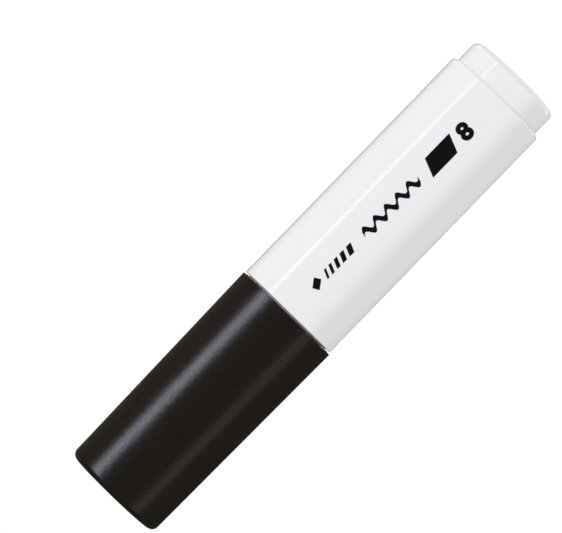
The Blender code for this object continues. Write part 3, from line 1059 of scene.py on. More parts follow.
@dataclass
class Print:
    """Generic pad print down the barrel: a stroke sampler, a pen wave, a slab and a nib size."""

    film: float = 0.03 * MM
    sink: float = 0.03 * MM
    facet: float = 0.2 * MM
    rhomb_start: float = 8.1 * MM
    rhomb_length: float = 2.8 * MM
    rhomb_height: float = 2.9 * MM
    sampler_start: float = 11.9 * MM
    sampler_widths: tuple[float, ...] = (0.6 * MM, 0.8 * MM, 1.0 * MM, 1.2 * MM, 1.45 * MM)
    sampler_gap: float = 0.86 * MM
    sampler_height: float = 2.1 * MM
    sampler_slant: float = 0.9 * MM
    wave_start: float = 24.5 * MM
    wave_length: float = 17.5 * MM
    wave_count: float = 5.0
    wave_swing: float = 0.86 * MM
    wave_steps: int = 180
    pen_edge: float = 1.35 * MM
    pen_angle: float = math.radians(75)
    slab_start: float = 44.35 * MM
    slab_length: float = 7.75 * MM
    slab_height: float = 4.34 * MM
    slab_slant: float = 1.8 * MM
    figure: str = "8"
    figure_start: float = 55.0 * MM
    figure_width: float = 3.2 * MM
    figure_height: float = 4.4 * MM
    figure_weight: float = 0.05
    figure_steps: int = 16
    figure_weld: float = 1e-5
    offset: float = -0.22 * MM

    def build(self, radius: float) -> None:
        """Prints every mark.

        Args:
            radius: the barrel's outer radius.
        """
        ink = PRINT_INK.material()
        marks = {
            "print_sampler": self.flat([self.rhomb(), *self.sampler()]),
            "print_wave": self.flat([self.wave()]),
            "print_slab": self.flat([self.slab()]),
            "print_figure": self.numeral(),
        }
        for name, mark in marks.items():
            self.wrap(mark, radius)
            dress(new_object(name, as_mesh(name, mark)), Body.BARREL, Slot.CAP_BLACK, ink)

    def slanted(self, start: float, width: float, height: float, slant: float) -> list[Vector]:
        """Corners of one slanted bar, as (along the barrel, up) points."""
        low, high = self.offset - height / 2, self.offset + height / 2
        return [
            Vector((start, low)),
            Vector((start + width, low)),
            Vector((start + width + slant, high)),
            Vector((start + slant, high)),
        ]

    def rhomb(self) -> list[Vector]:
        """The small slanted rhomb that starts the line."""
        half = self.rhomb_height / 2
        middle = self.rhomb_start + self.rhomb_length / 2
        lean = 0.2 * self.rhomb_length
        return [
            Vector((self.rhomb_start, self.offset)),
            Vector((middle - lean, self.offset - half)),
            Vector((self.rhomb_start + self.rhomb_length, self.offset)),
            Vector((middle + lean, self.offset + half)),
        ]

    def sampler(self) -> list[list[Vector]]:
        """Slanted strokes, each broader than the one before."""
        bars = []
        start = self.sampler_start
        for width in self.sampler_widths:
            bars.append(self.slanted(start, width, self.sampler_height, self.sampler_slant))
            start += width + self.sampler_gap
        return bars

    def slab(self) -> list[Vector]:
        """The slanted slab that shows the breadth of the nib."""
        return self.slanted(self.slab_start, self.slab_length, self.slab_height, self.slab_slant)

    def wave(self) -> list[Vector]:
        """The track of a broad pen that is held at one angle along a wave, thin then thick."""
        half = Vector((math.cos(self.pen_angle), math.sin(self.pen_angle))) * self.pen_edge / 2
        track = []
        for step in range(self.wave_steps + 1):
            share = step / self.wave_steps
            swing = math.sin(math.tau * self.wave_count * share) * self.wave_swing
            track.append(Vector((self.wave_start + self.wave_length * share, self.offset + swing)))
        return [point - half for point in track] + [point + half for point in reversed(track)]

    def flat(self, outlines: Sequence[Sequence[Vector]]) -> bmesh.types.BMesh:
        """Makes a thin flat solid from outlines, in millimetres (along, up, thickness)."""
        mark = bmesh.new()
        for outline in outlines:
            mark.faces.new([mark.verts.new((x / MM, y / MM, -self.sink / MM)) for x, y in outline])
        mark.normal_update()
        bmesh.ops.triangulate(mark, faces=mark.faces[:], ngon_method="EAR_CLIP")
        thicken(mark, mark.faces[:], (0, 0, (self.film + self.sink) / MM))
        return mark

    def numeral(self) -> bmesh.types.BMesh:
        """Makes the bold nib-size figure as a thin flat solid, in the same millimetres. Whatever
        the letter's own size, it is stretched to the size it has on the barrel."""
        text = bpy.data.curves.new("figure", "FONT")
        text.body = self.figure
        text.offset = self.figure_weight
        text.extrude = self.figure_weight
        text.resolution_u = self.figure_steps
        writer = bpy.data.objects.new("figure", text)
        bpy.context.scene.collection.objects.link(writer)
        bpy.context.view_layer.update()
        graph = bpy.context.evaluated_depsgraph_get()
        mesh = bpy.data.meshes.new_from_object(writer.evaluated_get(graph))
        bpy.data.objects.remove(writer)
        mark = bmesh.new()
        mark.from_mesh(mesh)
        bmesh.ops.remove_doubles(mark, verts=mark.verts, dist=self.figure_weld)
        lows, highs = (
            [end(vert.co[axis] for vert in mark.verts) for axis in range(3)] for end in (min, max)
        )
        spans = (self.figure_width, self.figure_height, self.film + self.sink)
        starts = (self.figure_start, self.offset - self.figure_height / 2, -self.sink)
        for vert in mark.verts:
            for axis in range(3):
                share = (vert.co[axis] - lows[axis]) / (highs[axis] - lows[axis])
                vert.co[axis] = (starts[axis] + share * spans[axis]) / MM
        return mark

    def wrap(self, mark: bmesh.types.BMesh, radius: float) -> None:
        """Cuts a flat mark into narrow facets and bends it round the barrel.

        Args:
            mark: the flat mark, in millimetres.
            radius: the barrel's outer radius.
        """
        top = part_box("cap_shell")[0].z
        reach = max(abs(vert.co.y) for vert in mark.verts)
        facet = self.facet / MM
        lines = int(reach / facet) + 1
        slice_up(mark, Vector((0, 1, 0)), [line * facet for line in range(-lines, lines + 1)])
        for vert in mark.verts:
            along, up, lift = vert.co * MM
            angle = up / radius
            out = radius + lift
            vert.co = (out * math.sin(angle), -out * math.cos(angle), top - along)


@dataclass
class Front:
    """The fixed front section: the nib holder and the seal round its skirt."""

    skirt_radius: float = 9.75 * MM
    skirt_bore: float = 8.45 * MM
    ledge_height: float = 74.3 * MM
    chamber_radius: float = 6.6 * MM
    chamber_top: float = 90.0 * MM
    seat_height: float = 84.3 * MM
    flange_radius: float = 11.3 * MM
    flange_top: float = 86.0 * MM
    body_foot_radius: float = 10.4 * MM
    body_top_radius: float = 9.9 * MM
    body_top: float = 92.3 * MM
    nose_radius: float = 7.95 * MM
    nose_foot: float = 94.6 * MM
    nose_fillet: float = 1.2 * MM
    slot_width: float = 8.3 * MM
    slot_depth: float = 4.7 * MM
    vent_width: float = 2.4 * MM
    vent_depth: float = 6.6 * MM
    vent_fillet: float = 0.6 * MM
    seal_section: float = 0.4 * MM
    seal_flash: float = 0.02 * MM
    seal_steps: int = 28
    groove_depth: float = 0.85 * MM
    groove_half_width: float = 0.7 * MM
    chamfer: float = 0.5 * MM
    chamfer_depth: float = 0.35 * MM

    def build(self, workshop: Workshop) -> None:
        """Builds and dresses the holder and its seal."""
        self.build_holder(workshop, HOLDER_ACETAL.material())
        self.build_seal(workshop, SEAL_NITRILE.material())

    def build_holder(self, workshop: Workshop, plastic: bpy.types.Material) -> None:
        """Turns the holder, then cuts the nib's slot, its lead-in and the vents beside it."""
        low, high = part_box("nib_holder")
        seal_low, seal_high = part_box("holder_seal")
        seal = (seal_low.z + seal_high.z) / 2
        groove = self.skirt_radius - self.groove_depth
        halves = (self.groove_half_width, self.groove_half_width)
        outline = [
            (0, self.chamber_top),
            (self.chamber_radius, self.chamber_top, SOFT),
            (self.chamber_radius, self.ledge_height, FINE),
            (self.skirt_bore, self.ledge_height, FINE),
            (self.skirt_bore, low.z, FINE),
            (self.skirt_radius, low.z, ROUND),
            *band(self.skirt_radius, groove, seal, halves, (0.08 * MM, CRISP)),
            (self.skirt_radius, self.seat_height, SMALL),
            (self.flange_radius, self.seat_height, FINE),
            (self.flange_radius, self.flange_top, ROUND),
            (self.body_foot_radius, self.flange_top, EASED),
            (self.body_top_radius, self.body_top, 1.2 * MM),
            (self.nose_radius, self.nose_foot, BROAD),
            (self.nose_radius, high.z, self.nose_fillet),
            (0, high.z),
        ]
        holder = workshop.turn("front_section", outline, plastic)
        foot, top = self.chamber_top - MM, high.z + MM
        slot = rectangle(self.slot_width, self.slot_depth, SOFT)
        vent = rectangle(self.vent_width, self.vent_depth, self.vent_fillet)
        wide = rectangle(self.slot_width + self.chamfer, self.slot_depth + self.chamfer, self.chamfer)
        carve(holder, Carving.CUT, prism("slot_tool", slot, foot, top))
        carve(holder, Carving.CUT, prism("vent_tool", vent, foot, top))
        carve(holder, Carving.CUT, prism("lead_in_tool", wide, high.z - self.chamfer_depth, top))
        dress(holder, Body.BARREL, Slot.HOLDER_WHITE, plastic, ["nib_holder"])

    def build_seal(self, workshop: Workshop, rubber: bpy.types.Material) -> None:
        """Turns the O-ring, with the fine parting line of its mould round the outside."""
        low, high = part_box("holder_seal")
        middle = high.x - self.seal_section
        height = (low.z + high.z) / 2
        outline: list[Corner] = []
        for step in range(self.seal_steps):
            angle = math.tau * step / self.seal_steps
            on_parting_line = step % (self.seal_steps // 2) == 0
            radius = self.seal_section - (0 if on_parting_line else self.seal_flash)
            outline.append((middle + radius * math.cos(angle), height + radius * math.sin(angle)))
        seal = workshop.turn("skirt_seal", outline, rubber)
        dress(seal, Body.BARREL, Slot.SEAL_RUBBER, rubber, ["holder_seal"])


@dataclass
class Valve:
    """The fixed part of the valve: the seat, its gasket, the cage and the spring in it."""

    seat_radius: float = 8.35 * MM
    seat_hole: float = 2.6 * MM
    seat_lead_in: float = 0.6 * MM
    seat_recess: float = 5.3 * MM
    seat_recess_depth: float = 1.2 * MM
    gasket_bore: float = 2.75 * MM
    gasket_radius: float = 5.2 * MM
    cage_radius: float = 7.95 * MM
    cage_rim: float = 8.35 * MM
    cage_bore: float = 6.9 * MM
    cage_floor: float = 1.4 * MM
    boss_radius: float = 2.12 * MM
    boss_height: float = 1.8 * MM
    rim_height: float = 3.2 * MM
    rim_slope: float = 0.4 * MM
    window_width: float = 5.6 * MM
    window_fillet: float = 0.8 * MM
    window_gaps: tuple[float, float] = (0.4 * MM, 4.4 * MM)
    window_count: int = 4
    coil_radius: float = 2.9 * MM
    wire_radius: float = 0.28 * MM
    turns: int = 7
    steps_per_turn: int = 40
    end_pitch: float = 0.71 * MM

    def build(self, workshop: Workshop) -> None:
        """Builds and dresses the valve's fixed pieces."""
        plastic = VALVE_POLYPROPYLENE.material()
        self.build_seat(workshop, plastic)
        self.build_gasket(workshop, SEAL_NITRILE.material())
        self.build_cage(workshop, plastic)
        self.build_spring(workshop, SPRING_WIRE.material())

    def build_seat(self, workshop: Workshop, plastic: bpy.types.Material) -> None:
        """Turns the seat ring, with the lead-in of its hole."""
        low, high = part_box("valve_seat")
        top = high.z - low.z
        outline = [
            (self.seat_hole, self.seat_recess_depth, CRISP),
            (self.seat_recess, self.seat_recess_depth, CRISP),
            (self.seat_recess, 0, 0.12 * MM),
            (self.seat_radius, 0, SOFT),
            (self.seat_radius, top, SOFT),
            (self.seat_hole + self.seat_lead_in, top, FINE),
            (self.seat_hole, top - self.seat_lead_in, CRISP),
        ]
        seat = workshop.turn("seat_ring", outline, plastic, low.z, SMALL_SEGMENTS)
        dress(seat, Body.BARREL, Slot.VALVE_PLASTIC, plastic, ["valve_seat"])

    def build_gasket(self, workshop: Workshop, rubber: bpy.types.Material) -> None:
        """Turns the gasket, with softened edges."""
        low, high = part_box("valve_gasket")
        top = high.z - low.z
        outline = [
            (self.gasket_bore, 0, SMALL),
            (self.gasket_radius, 0, EASED),
            (self.gasket_radius, top, FINE),
            (self.gasket_bore, top, FINE),
        ]
        gasket = workshop.turn("seat_gasket", outline, rubber, low.z, SMALL_SEGMENTS)
        dress(gasket, Body.BARREL, Slot.SEAL_RUBBER, rubber, ["valve_gasket"])

    def build_cage(self, workshop: Workshop, plastic: bpy.types.Material) -> None:
        """Turns the cage and cuts its ring of round-cornered windows."""
        low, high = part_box("valve_cage")
        top = high.z - low.z
        floor = self.cage_floor
        boss = floor + self.boss_height
        outline = [
            (0, 0),
            (self.cage_radius, 0, ROUND),
            (self.cage_radius, top - self.rim_height - self.rim_slope, FINE),
            (self.cage_rim, top - self.rim_height, FINE),
            (self.cage_rim, top, FINE),
            (self.cage_bore, top, FINE),
            (self.cage_bore, floor, 0.5 * MM),
            (self.boss_radius, floor, FINE),
            (self.boss_radius, boss, SOFT),
            (0, boss),
        ]
        cage = workshop.turn("spring_cage", outline, plastic, low.z, SMALL_SEGMENTS)
        foot, head = low.z + boss + self.window_gaps[0], high.z - self.window_gaps[1]
        opening = rectangle(self.window_width, head - foot, self.window_fillet)
        window = prism("window", opening, 0, self.cage_rim * 2)
        lift = Matrix.Translation((0, 0, (foot + head) / 2))
        upright, aside = Matrix.Rotation(math.pi / 2, 4, "X"), Matrix.Rotation(math.pi / 4, 4, "Z")
        window.data.transform(aside @ lift @ upright)
        seed = window.data
        bpy.data.objects.remove(window)
        windows = workshop.ring.make("windows", seed, plastic, {"Count": self.window_count})
        carve(cage, Carving.CUT, windows)
        dress(cage, Body.BARREL, Slot.VALVE_PLASTIC, plastic, ["valve_cage"])

    def build_spring(self, workshop: Workshop, steel: bpy.types.Material) -> None:
        """Winds the spring at its resting length, and gives it a mesh of its own."""
        low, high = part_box("valve_spring")
        length = high.z - low.z
        rise = length - 2 * self.wire_radius
        values = {
            "Turns": float(self.turns),
            "Steps per turn": self.steps_per_turn,
            "Coil radius": self.coil_radius,
            "Wire radius": self.wire_radius,
            "Foot": low.z + self.wire_radius,
            "End rise": self.end_pitch,
            "Open rise": rise - 2 * self.end_pitch,
        }
        spring = workshop.coil.make("return_spring", bpy.data.meshes.new("coil"), steel, values)
        dress(spring, Body.BARREL, Slot.SPRING_STEEL, steel, ["valve_spring"])
        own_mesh(spring)


@dataclass
class Plunger:
    """What moves when the nib is pressed: the nib, its socket and the valve stem."""

    nib_width: float = 8.0 * MM
    nib_depth: float = 4.4 * MM
    nib_side_drop: float = 3.4 * MM
    nib_back_drop: float = 3.2 * MM
    nib_edge: float = 0.38 * MM
    nib_cell: float = 0.45 * MM
    nib_unevenness: float = 0.03 * MM
    tip_allowance: float = 0.3 * MM
    bevel_steps: int = 5
    streak_width: float = 0.35 * MM
    streak_length: float = 4.0 * MM
    fibre_density: float = 1.6 / MM**2
    fibre_length: float = 0.16 * MM
    fibre_radius: float = 0.018 * MM
    fibre_lean: float = 0.5
    fibre_seed: int = 5
    socket_radius: float = 6.35 * MM
    socket_flats: float = 7.6 * MM
    sleeve_radius: float = 3.0 * MM
    sleeve_length: float = 3.0 * MM
    bore_radius: float = 1.7 * MM
    bore_top: float = 85.0 * MM
    pocket_floor: float = 85.7 * MM
    pocket_gap: float = 0.2 * MM
    disc_radius: float = 4.4 * MM
    disc_thickness: float = 1.6 * MM
    disc_top: float = 71.0 * MM
    spigot_radius: float = 1.92 * MM
    flute_half_length: float = 2.2 * MM
    flute_thickness: float = 1.0 * MM
    flute_top: float = 79.9 * MM
    rod_radius: float = 1.6 * MM
    core_radius: float = 1.12 * MM

    def build(self, workshop: Workshop) -> None:
        """Builds and dresses the plunger's pieces."""
        plastic = VALVE_POLYPROPYLENE.material()
        self.build_nib(workshop, BondedFelt().material())
        self.build_socket(workshop, plastic)
        self.build_stem(workshop, plastic)

    def build_nib(self, workshop: Workshop, felt: bpy.types.Material) -> None:
        """Cuts the chisel nib from a bar of felt, roughens it and stands loose fibres on it. The
        bar starts a little long, since its softened edge takes that off the tip."""
        low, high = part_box("nib")
        half_width, half_depth = self.nib_width / 2, self.nib_depth / 2
        top = high.z + self.tip_allowance
        bar = bmesh.new()
        bmesh.ops.create_cube(bar, size=1.0)
        for vert in bar.verts:
            side, back, up = (value + 0.5 for value in vert.co)
            drop = side * self.nib_side_drop + back * self.nib_back_drop
            height = top - drop if up > 0 else low.z
            vert.co = ((2 * side - 1) * half_width, (2 * back - 1) * half_depth, height)
        edge = {"offset": self.nib_edge, "segments": self.bevel_steps, "profile": 0.5}
        bmesh.ops.bevel(bar, geom=bar.edges[:], affect="EDGES", clamp_overlap=True, **edge)
        self.divide(bar, low.z, top)
        bmesh.ops.recalc_face_normals(bar, faces=bar.faces)
        bar.normal_update()
        across, along = 1 / self.streak_width, 1 / self.streak_length
        packing = Matrix.Diagonal((across, across, along))
        for vert in bar.verts:
            streak = packing @ vert.co
            vert.co -= vert.normal * self.nib_unevenness * (0.5 + 0.5 * noise.noise(streak))
        nib = new_object("chisel_nib", as_mesh("chisel_nib", bar))
        dress(nib, Body.PLUNGER, Slot.NIB_FELT, felt, ["nib"])
        values = {
            "Fibres per area": self.fibre_density,
            "Random seed": self.fibre_seed,
            "Fibre length": self.fibre_length,
            "Fibre radius": self.fibre_radius,
            "Lean": self.fibre_lean,
        }
        fibres = workshop.fuzz.make("nib_fibres", self.exposed(nib.data), felt, values)
        dress(fibres, Body.PLUNGER, Slot.NIB_FELT, felt)

    def divide(self, bar: bmesh.types.BMesh, low: float, high: float) -> None:
        """Cuts the bar's faces into cells that are small enough to roughen."""
        spans = (
            (Vector((1, 0, 0)), -self.nib_width / 2, self.nib_width / 2, self.nib_cell),
            (Vector((0, 1, 0)), -self.nib_depth / 2, self.nib_depth / 2, self.nib_cell),
            (Vector((0, 0, 1)), low, high, 2 * self.nib_cell),
        )
        for direction, start, end, cell in spans:
            lines = range(1, int((end - start) / cell))
            slice_up(bar, direction, [start + line * cell for line in lines])

    def exposed(self, mesh: bpy.types.Mesh) -> bpy.types.Mesh:
        """Copies the part of the nib that stands out of the holder.

        Args:
            mesh: the whole nib.

        Returns:
            An open surface for the fibres to stand on. Its points and faces are sorted by place,
            since cutting leaves them in any order and the fibres' random draws follow it.
        """
        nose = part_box("nib_holder")[1].z
        places = sorted({tuple(vertex.co) for vertex in mesh.vertices})
        ranks = {place: rank for rank, place in enumerate(places)}
        faces = []
        for polygon in mesh.polygons:
            if polygon.center.z < nose + MM:
                continue
            corners = [ranks[tuple(mesh.vertices[index].co)] for index in polygon.vertices]
            first = corners.index(min(corners))
            faces.append(corners[first:] + corners[:first])
        shown = bpy.data.meshes.new("exposed_felt")
        shown.from_pydata(places, [], sorted(faces))
        return shown

    def build_socket(self, workshop: Workshop, plastic: bpy.types.Material) -> None:
        """Turns the socket, gives it its two flats and cuts the nib's pocket."""
        low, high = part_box("nib_socket")
        step = low.z + self.sleeve_length
        outline = [
            (0, self.bore_top),
            (self.bore_radius, self.bore_top, CRISP),
            (self.bore_radius, low.z, FINE),
            (self.sleeve_radius, low.z, SOFT),
            (self.sleeve_radius, step, SMALL),
            (self.socket_radius, step, SOFT),
            (self.socket_radius, high.z, SOFT),
            (0, high.z),
        ]
        socket = workshop.turn("nib_slider", outline, plastic, 0.0, SMALL_SEGMENTS)
        flats = rectangle(self.socket_radius * 3, self.socket_flats, SOFT)
        width, depth = self.nib_width + self.pocket_gap, self.nib_depth + self.pocket_gap
        pocket = rectangle(width, depth, EASED)
        carve(socket, Carving.KEEP, prism("flats_tool", flats, low.z - MM, high.z + MM))
        carve(socket, Carving.CUT, prism("pocket_tool", pocket, self.pocket_floor, high.z + MM))
        dress(socket, Body.PLUNGER, Slot.VALVE_PLASTIC, plastic, ["nib_socket"])

    def build_stem(self, workshop: Workshop, plastic: bpy.types.Material) -> None:
        """Turns the disc, its spigot and the rod, and joins the four flutes to them."""
        low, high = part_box("valve_stem")
        underside = self.disc_top - self.disc_thickness
        outline = [
            (0, low.z),
            (self.spigot_radius, low.z, ROUND),
            (self.spigot_radius, underside, SMALL),
            (self.disc_radius, underside, SOFT),
            (self.disc_radius, self.disc_top, SOFT),
            (self.core_radius, self.disc_top, SMALL),
            (self.core_radius, self.flute_top - MM, SMALL),
            (self.rod_radius, self.flute_top - 0.4 * MM, CRISP),
            (self.rod_radius, high.z, SOFT),
            (0, high.z),
        ]
        stem = workshop.turn("fluted_stem", outline, plastic, 0.0, SMALL_SEGMENTS)
        width = 2 * self.flute_half_length
        foot = self.disc_top - 0.4 * MM
        for x, y in ((width, self.flute_thickness), (self.flute_thickness, width)):
            flute = prism("flute", rectangle(x, y, EASED), foot, self.flute_top)
            carve(stem, Carving.JOIN, flute)
        dress(stem, Body.PLUNGER, Slot.VALVE_PLASTIC, plastic, ["valve_stem"])


@dataclass
class Balls:
    """The two steel balls that stir the paint."""

    flat: float = 0.05 * MM
    steps: int = 48

    def build(self, workshop: Workshop) -> None:
        """Turns each ball about its own middle and moves its mesh into place."""
        steel = BALL_STEEL.material()
        for node, body in (("mixing_ball_1", Body.BALL_1), ("mixing_ball_2", Body.BALL_2)):
            low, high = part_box(node)
            centre = (low + high) / 2
            radius = (high.z - low.z) / 2
            outline: list[Corner] = [(0, -radius)]
            for step in range(1, self.steps):
                angle = math.pi * (step / self.steps - 0.5)
                outline.append((radius * math.cos(angle), radius * math.sin(angle)))
            outline.append((0, radius))
            ball = workshop.turn(f"steel_{node}", outline, steel, 0.0, SMALL_SEGMENTS)
            ball.data.transform(Matrix.Translation(centre))
            dress(ball, body, Slot.BALL_STEEL, steel, [node])


# ---------------------------------------------------------------- studio


def link_light(light: bpy.types.Object, seen_by: Sequence[str]) -> None:
    """Lets a lamp or a glowing screen light only the named pieces.

    Args:
        light: the lamp or screen.
        seen_by: the names of the pieces it lights.
    """
    lit = bpy.data.collections.new(f"{light.name}_seen_by")
    for name in seen_by:
        lit.objects.link(bpy.data.objects[name])
    light.light_linking.receiver_collection = lit


@dataclass(frozen=True)
class Screen:
    """An upright curved softbox round the marker, which only the gloss of some pieces sees."""

    name: str
    stops: tuple[Stop, ...]
    radiance: float
    seen_by: tuple[str, ...]
    radius: float
    faded: float = 1.0
    fade_low: float = -0.04
    fade_high: float = 0.07
    low: float = -0.4
    high: float = 0.6
    turn: float = 0.0
    facets: int = 96
    half_sweep: float = math.radians(170)

    def behind(self) -> "Screen":
        """The same screen turned to the marker's back, and low enough to stay out of its front."""
        name, radius = f"{self.name}_behind", self.radius + 0.03
        return replace(self, name=name, radius=radius, low=-0.45, high=-0.11, turn=math.pi)

    def place(self) -> None:
        """Bends the screen round the marker and lights it by bearing, from -Y towards +X."""
        sheet = bmesh.new()
        columns = []
        for step in range(self.facets + 1):
            angle = self.half_sweep * (2 * step / self.facets - 1)
            x, y = self.radius * math.sin(angle), -self.radius * math.cos(angle)
            columns.append([sheet.verts.new((x, y, z)) for z in (self.low, self.high)])
        for left, right in zip(columns, columns[1:]):
            sheet.faces.new([left[0], right[0], right[1], left[1]])
        screen = new_object(self.name, as_mesh(self.name, sheet))
        screen.data.materials.append(self.glow())
        screen.visible_camera = False
        screen.visible_diffuse = False
        screen.visible_shadow = False
        screen.rotation_euler.z = self.turn
        link_light(screen, self.seen_by)

    def glow(self) -> bpy.types.Material:
        """Makes the screen's light.

        Returns:
            A clear emissive material whose strength follows the bearing. Being clear, it hides
            no other screen behind it.
        """
        made = bpy.data.materials.new(f"{self.name}_light")
        made.use_nodes = True
        tree = made.node_tree
        tree.nodes.remove(tree.nodes["Principled BSDF"])
        coordinates = add_node(tree, "ShaderNodeTexCoord").outputs["Object"]
        parts = add_node(tree, "ShaderNodeSeparateXYZ", inputs={0: coordinates}).outputs
        front = add_node(tree, MATH, {"operation": "MULTIPLY"}, {0: parts["Y"], 1: -1.0})
        bearing = add_node(tree, MATH, {"operation": "ARCTAN2"}, {0: parts["X"], 1: front})
        circle = {"Value": bearing, "From Min": -math.pi, "From Max": math.pi}
        share = add_node(tree, MAP_RANGE, inputs=circle)
        ramp = add_node(tree, "ShaderNodeValToRGB", inputs={"Fac": share})
        elements = ramp.color_ramp.elements
        elements.remove(elements[0])
        for degrees, strength, tint in self.stops:
            element = elements.new((degrees + 180) / 360)
            element.color = [strength * value for value in linear(tint)[:3]] + [1.0]
        elements.remove(elements[-1])
        fade = {"Value": parts["Z"], "From Min": self.fade_low, "From Max": self.fade_high}
        fade |= {"To Min": self.faded * self.radiance, "To Max": self.radiance}
        strength = add_node(tree, MAP_RANGE, inputs=fade)
        light = add_node(tree, "ShaderNodeEmission", inputs={"Color": ramp, "Strength": strength})
        clear = add_node(tree, "ShaderNodeBsdfTransparent")
        both = add_node(tree, "ShaderNodeAddShader", inputs={0: light, 1: clear})
        feed(tree.nodes["Material Output"], {"Surface": both})
        return made


# Each stop is a bearing in degrees from -Y towards +X, a strength and a tint.
COOL, NEUTRAL, WARM = "#E8EEFF", "#FFFFFF", "#FFF2DC"
WHITE_GLOW: tuple[Stop, ...] = (
    (-165, 0.12, NEUTRAL),
    (-120, 0.08, NEUTRAL),
    (-81, 0.0, COOL),
    (-72, 0.17, COOL),
    (-62, 0.51, COOL),
    (-53, 0.78, COOL),
    (-42, 1.0, COOL),
    (40, 1.0, COOL),
    (80, 0.9, NEUTRAL),
    (110, 0.6, NEUTRAL),
    (140, 0.25, NEUTRAL),
    (165, 0.0, NEUTRAL),
)
WHITE_STREAK: tuple[Stop, ...] = (
    (49, 0.0, NEUTRAL),
    (51, 1.0, NEUTRAL),
    (56, 1.0, NEUTRAL),
    (58, 0.0, NEUTRAL),
)
BLACK_STREAKS: tuple[Stop, ...] = (
    (-76, 0.0, WARM),
    (-65, 0.1, WARM),
    (-57, 0.1, WARM),
    (-46, 0.0, WARM),
    (41, 0.0, COOL),
    (53, 1.0, COOL),
    (61, 1.0, COOL),
    (72, 0.0, COOL),
    (100, 0.006, WARM),
    (145, 0.012, WARM),
    (170, 0.012, WARM),
)


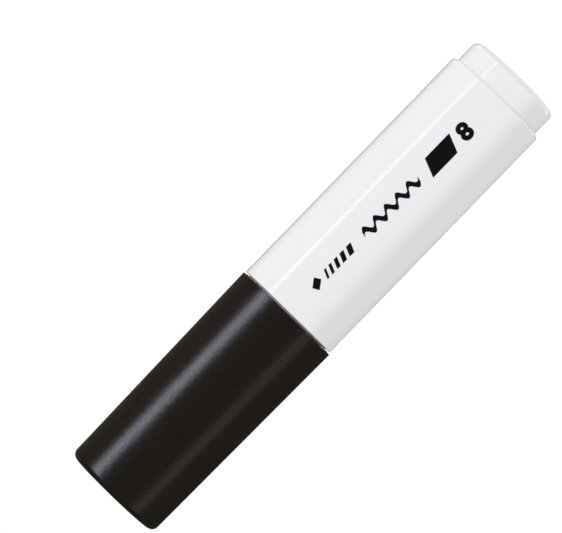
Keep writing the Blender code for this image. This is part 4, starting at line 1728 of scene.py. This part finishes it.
@dataclass
class Studio:
    """Pale floor, soft light and the camera."""

    ambient: float = 0.81
    gloss_ambient: float = 0.03
    floor_tone: str = "#9A9A9A"
    floor_glow: float = 0.90
    floor_bounce: float = 0.8
    floor_radius: float = 8.0
    floor_drop: float = 0.1 * MM
    key_bearing: float = math.radians(60)
    key_distance: float = 0.9
    key_size: float = 0.8
    key_radiance: float = 0.27
    table_size: float = 3.0
    table_depth: float = 0.55
    table_radiance: float = 0.9
    table_share_on_white: float = 0.6
    camera_distance: float = 0.991
    camera_height: float = 0.0805
    aim_side: float = 0.00825
    aim_height: float = 0.0671
    roll: float = math.radians(44.12)
    focal_length: float = 282.7
    cap_pieces: tuple[str, ...] = ("cap_outer", "cap_ribs")
    white_pieces: tuple[str, ...] = ("barrel_tube", "barrel_plug", "front_section")

    def build(self) -> None:
        """Builds everything round the marker."""
        self.build_world()
        self.build_floor()
        self.place_key()
        self.place_table("table_glow_on_black", 1.0, self.cap_pieces)
        self.place_table("table_glow_on_white", self.table_share_on_white, self.white_pieces)
        self.place_screens()
        self.place_camera()

    def place_key(self) -> None:
        """Adds the soft box that shades the marker from the left, with no reflection of its own."""
        out = Vector((math.sin(self.key_bearing), -math.cos(self.key_bearing), 0.0))
        key = self.lamp("key", self.key_size, self.key_radiance)
        key.location = out * self.key_distance + Vector((0, 0, self.camera_height))
        key.rotation_euler = (math.pi / 2, 0, self.key_bearing)
        key.visible_glossy = False

    def place_table(self, name: str, share: float, seen_by: Sequence[str]) -> None:
        """Adds the pale table's glow from below, seen only in the gloss of the named pieces.

        Args:
            name: the lamp's name.
            share: how much of the table's full glow these pieces show.
            seen_by: the names of the pieces.
        """
        table = self.lamp(name, self.table_size, share * self.table_radiance)
        table.location = (0, 0, -self.table_depth)
        table.rotation_euler = (math.pi, 0, 0)
        table.visible_diffuse = False
        link_light(table, seen_by)

    def lamp(self, name: str, size: float, radiance: float) -> bpy.types.Object:
        """Adds a square light of the given radiance, unseen by the camera."""
        data = bpy.data.lights.new(name, "AREA")
        data.shape = "SQUARE"
        data.size = size
        data.energy = radiance * math.pi * size**2
        lamp = bpy.data.objects.new(name, data)
        lamp.visible_camera = False
        bpy.context.scene.collection.objects.link(lamp)
        return lamp

    def place_screens(self) -> None:
        """Sets the curved screens: a broad cool one with a bright streak for the white gloss, and
        two soft streaks for the black satin. Low copies of the streaks serve the marker's back."""
        glow = Screen("white_gloss_screen", WHITE_GLOW, 3.4, self.white_pieces, 0.70)
        streak = Screen("white_gloss_streak", WHITE_STREAK, 3.05, self.white_pieces, 0.69, faded=0.7)
        satin = Screen("black_satin_screen", BLACK_STREAKS, 5.4, self.cap_pieces, 0.71)
        for screen in (glow, streak, satin, streak.behind(), satin.behind()):
            screen.place()

    def build_world(self) -> None:
        """Sets a white surround that gloss sees as a dark room."""
        world = bpy.data.worlds.new("studio")
        world.use_nodes = True
        tree = world.node_tree
        path = add_node(tree, "ShaderNodeLightPath").outputs
        levels = {"Value": path["Is Glossy Ray"], "To Min": self.ambient, "To Max": self.gloss_ambient}
        lit = add_node(tree, MAP_RANGE, inputs=levels)
        strength = add_node(tree, MATH, {"operation": "MAXIMUM"}, {0: lit, 1: path["Is Camera Ray"]})
        feed(tree.nodes["Background"], {"Color": WHITE, "Strength": strength})
        bpy.context.scene.world = world
        bpy.context.scene.view_settings.view_transform = "Standard"

    def build_floor(self) -> None:
        """Lays the pale floor, which glows a little so that it stays pale to its edge."""
        disc = bmesh.new()
        bmesh.ops.create_circle(disc, cap_ends=True, segments=64, radius=self.floor_radius)
        bmesh.ops.translate(disc, verts=disc.verts, vec=(0, 0, -self.floor_drop))
        floor = new_object("floor", as_mesh("floor", disc))
        tone = {"Base Color": linear(self.floor_tone), "Roughness": 0.9, "Emission Color": WHITE}
        made, shader = Finish("pale_paper_sweep").start(tone)
        tree = made.node_tree
        path = add_node(tree, "ShaderNodeLightPath").outputs
        glow = 0.0
        levels = {"Is Camera Ray": self.floor_glow, "Is Diffuse Ray": self.ambient * self.floor_bounce}
        for ray, level in levels.items():
            terms = {0: path[ray], 1: level, 2: glow}
            glow = add_node(tree, MATH, {"operation": "MULTIPLY_ADD"}, terms)
        feed(shader, {"Emission Strength": glow})
        floor.data.materials.append(made)
        floor.visible_glossy = False
        floor.visible_shadow = False

    def place_camera(self) -> None:
        """Sets the camera level with the marker's middle and rolls it, so the marker lies aslant."""
        data = bpy.data.cameras.new("camera")
        data.lens = self.focal_length
        data.sensor_width = SENSOR_WIDTH
        camera = bpy.data.objects.new("camera", data)
        position = Vector((0, -self.camera_distance, self.camera_height))
        forward = (Vector((self.aim_side, 0, self.aim_height)) - position).normalized()
        up = Vector((math.sin(self.roll), 0, -math.cos(self.roll)))
        right = forward.cross(up).normalized()
        turn = Matrix((right, right.cross(forward), -forward)).transposed()
        camera.matrix_world = Matrix.Translation(position) @ turn.to_4x4()
        bpy.context.scene.collection.objects.link(camera)
        bpy.context.scene.camera = camera


# ---------------------------------------------------------------- assembly


def main() -> None:
    """Builds the marker from its cap to its balls, then the studio round it."""
    logging.basicConfig(level=logging.INFO, format="%(name)s: %(message)s")
    workshop = Workshop()
    Cap().build(workshop)
    barrel = Barrel()
    barrel.build(workshop)
    Print().build(barrel.radius)
    Front().build(workshop)
    Valve().build(workshop)
    Plunger().build(workshop)
    Balls().build(workshop)
    Studio().build()


if __name__ == "__main__":
    main()
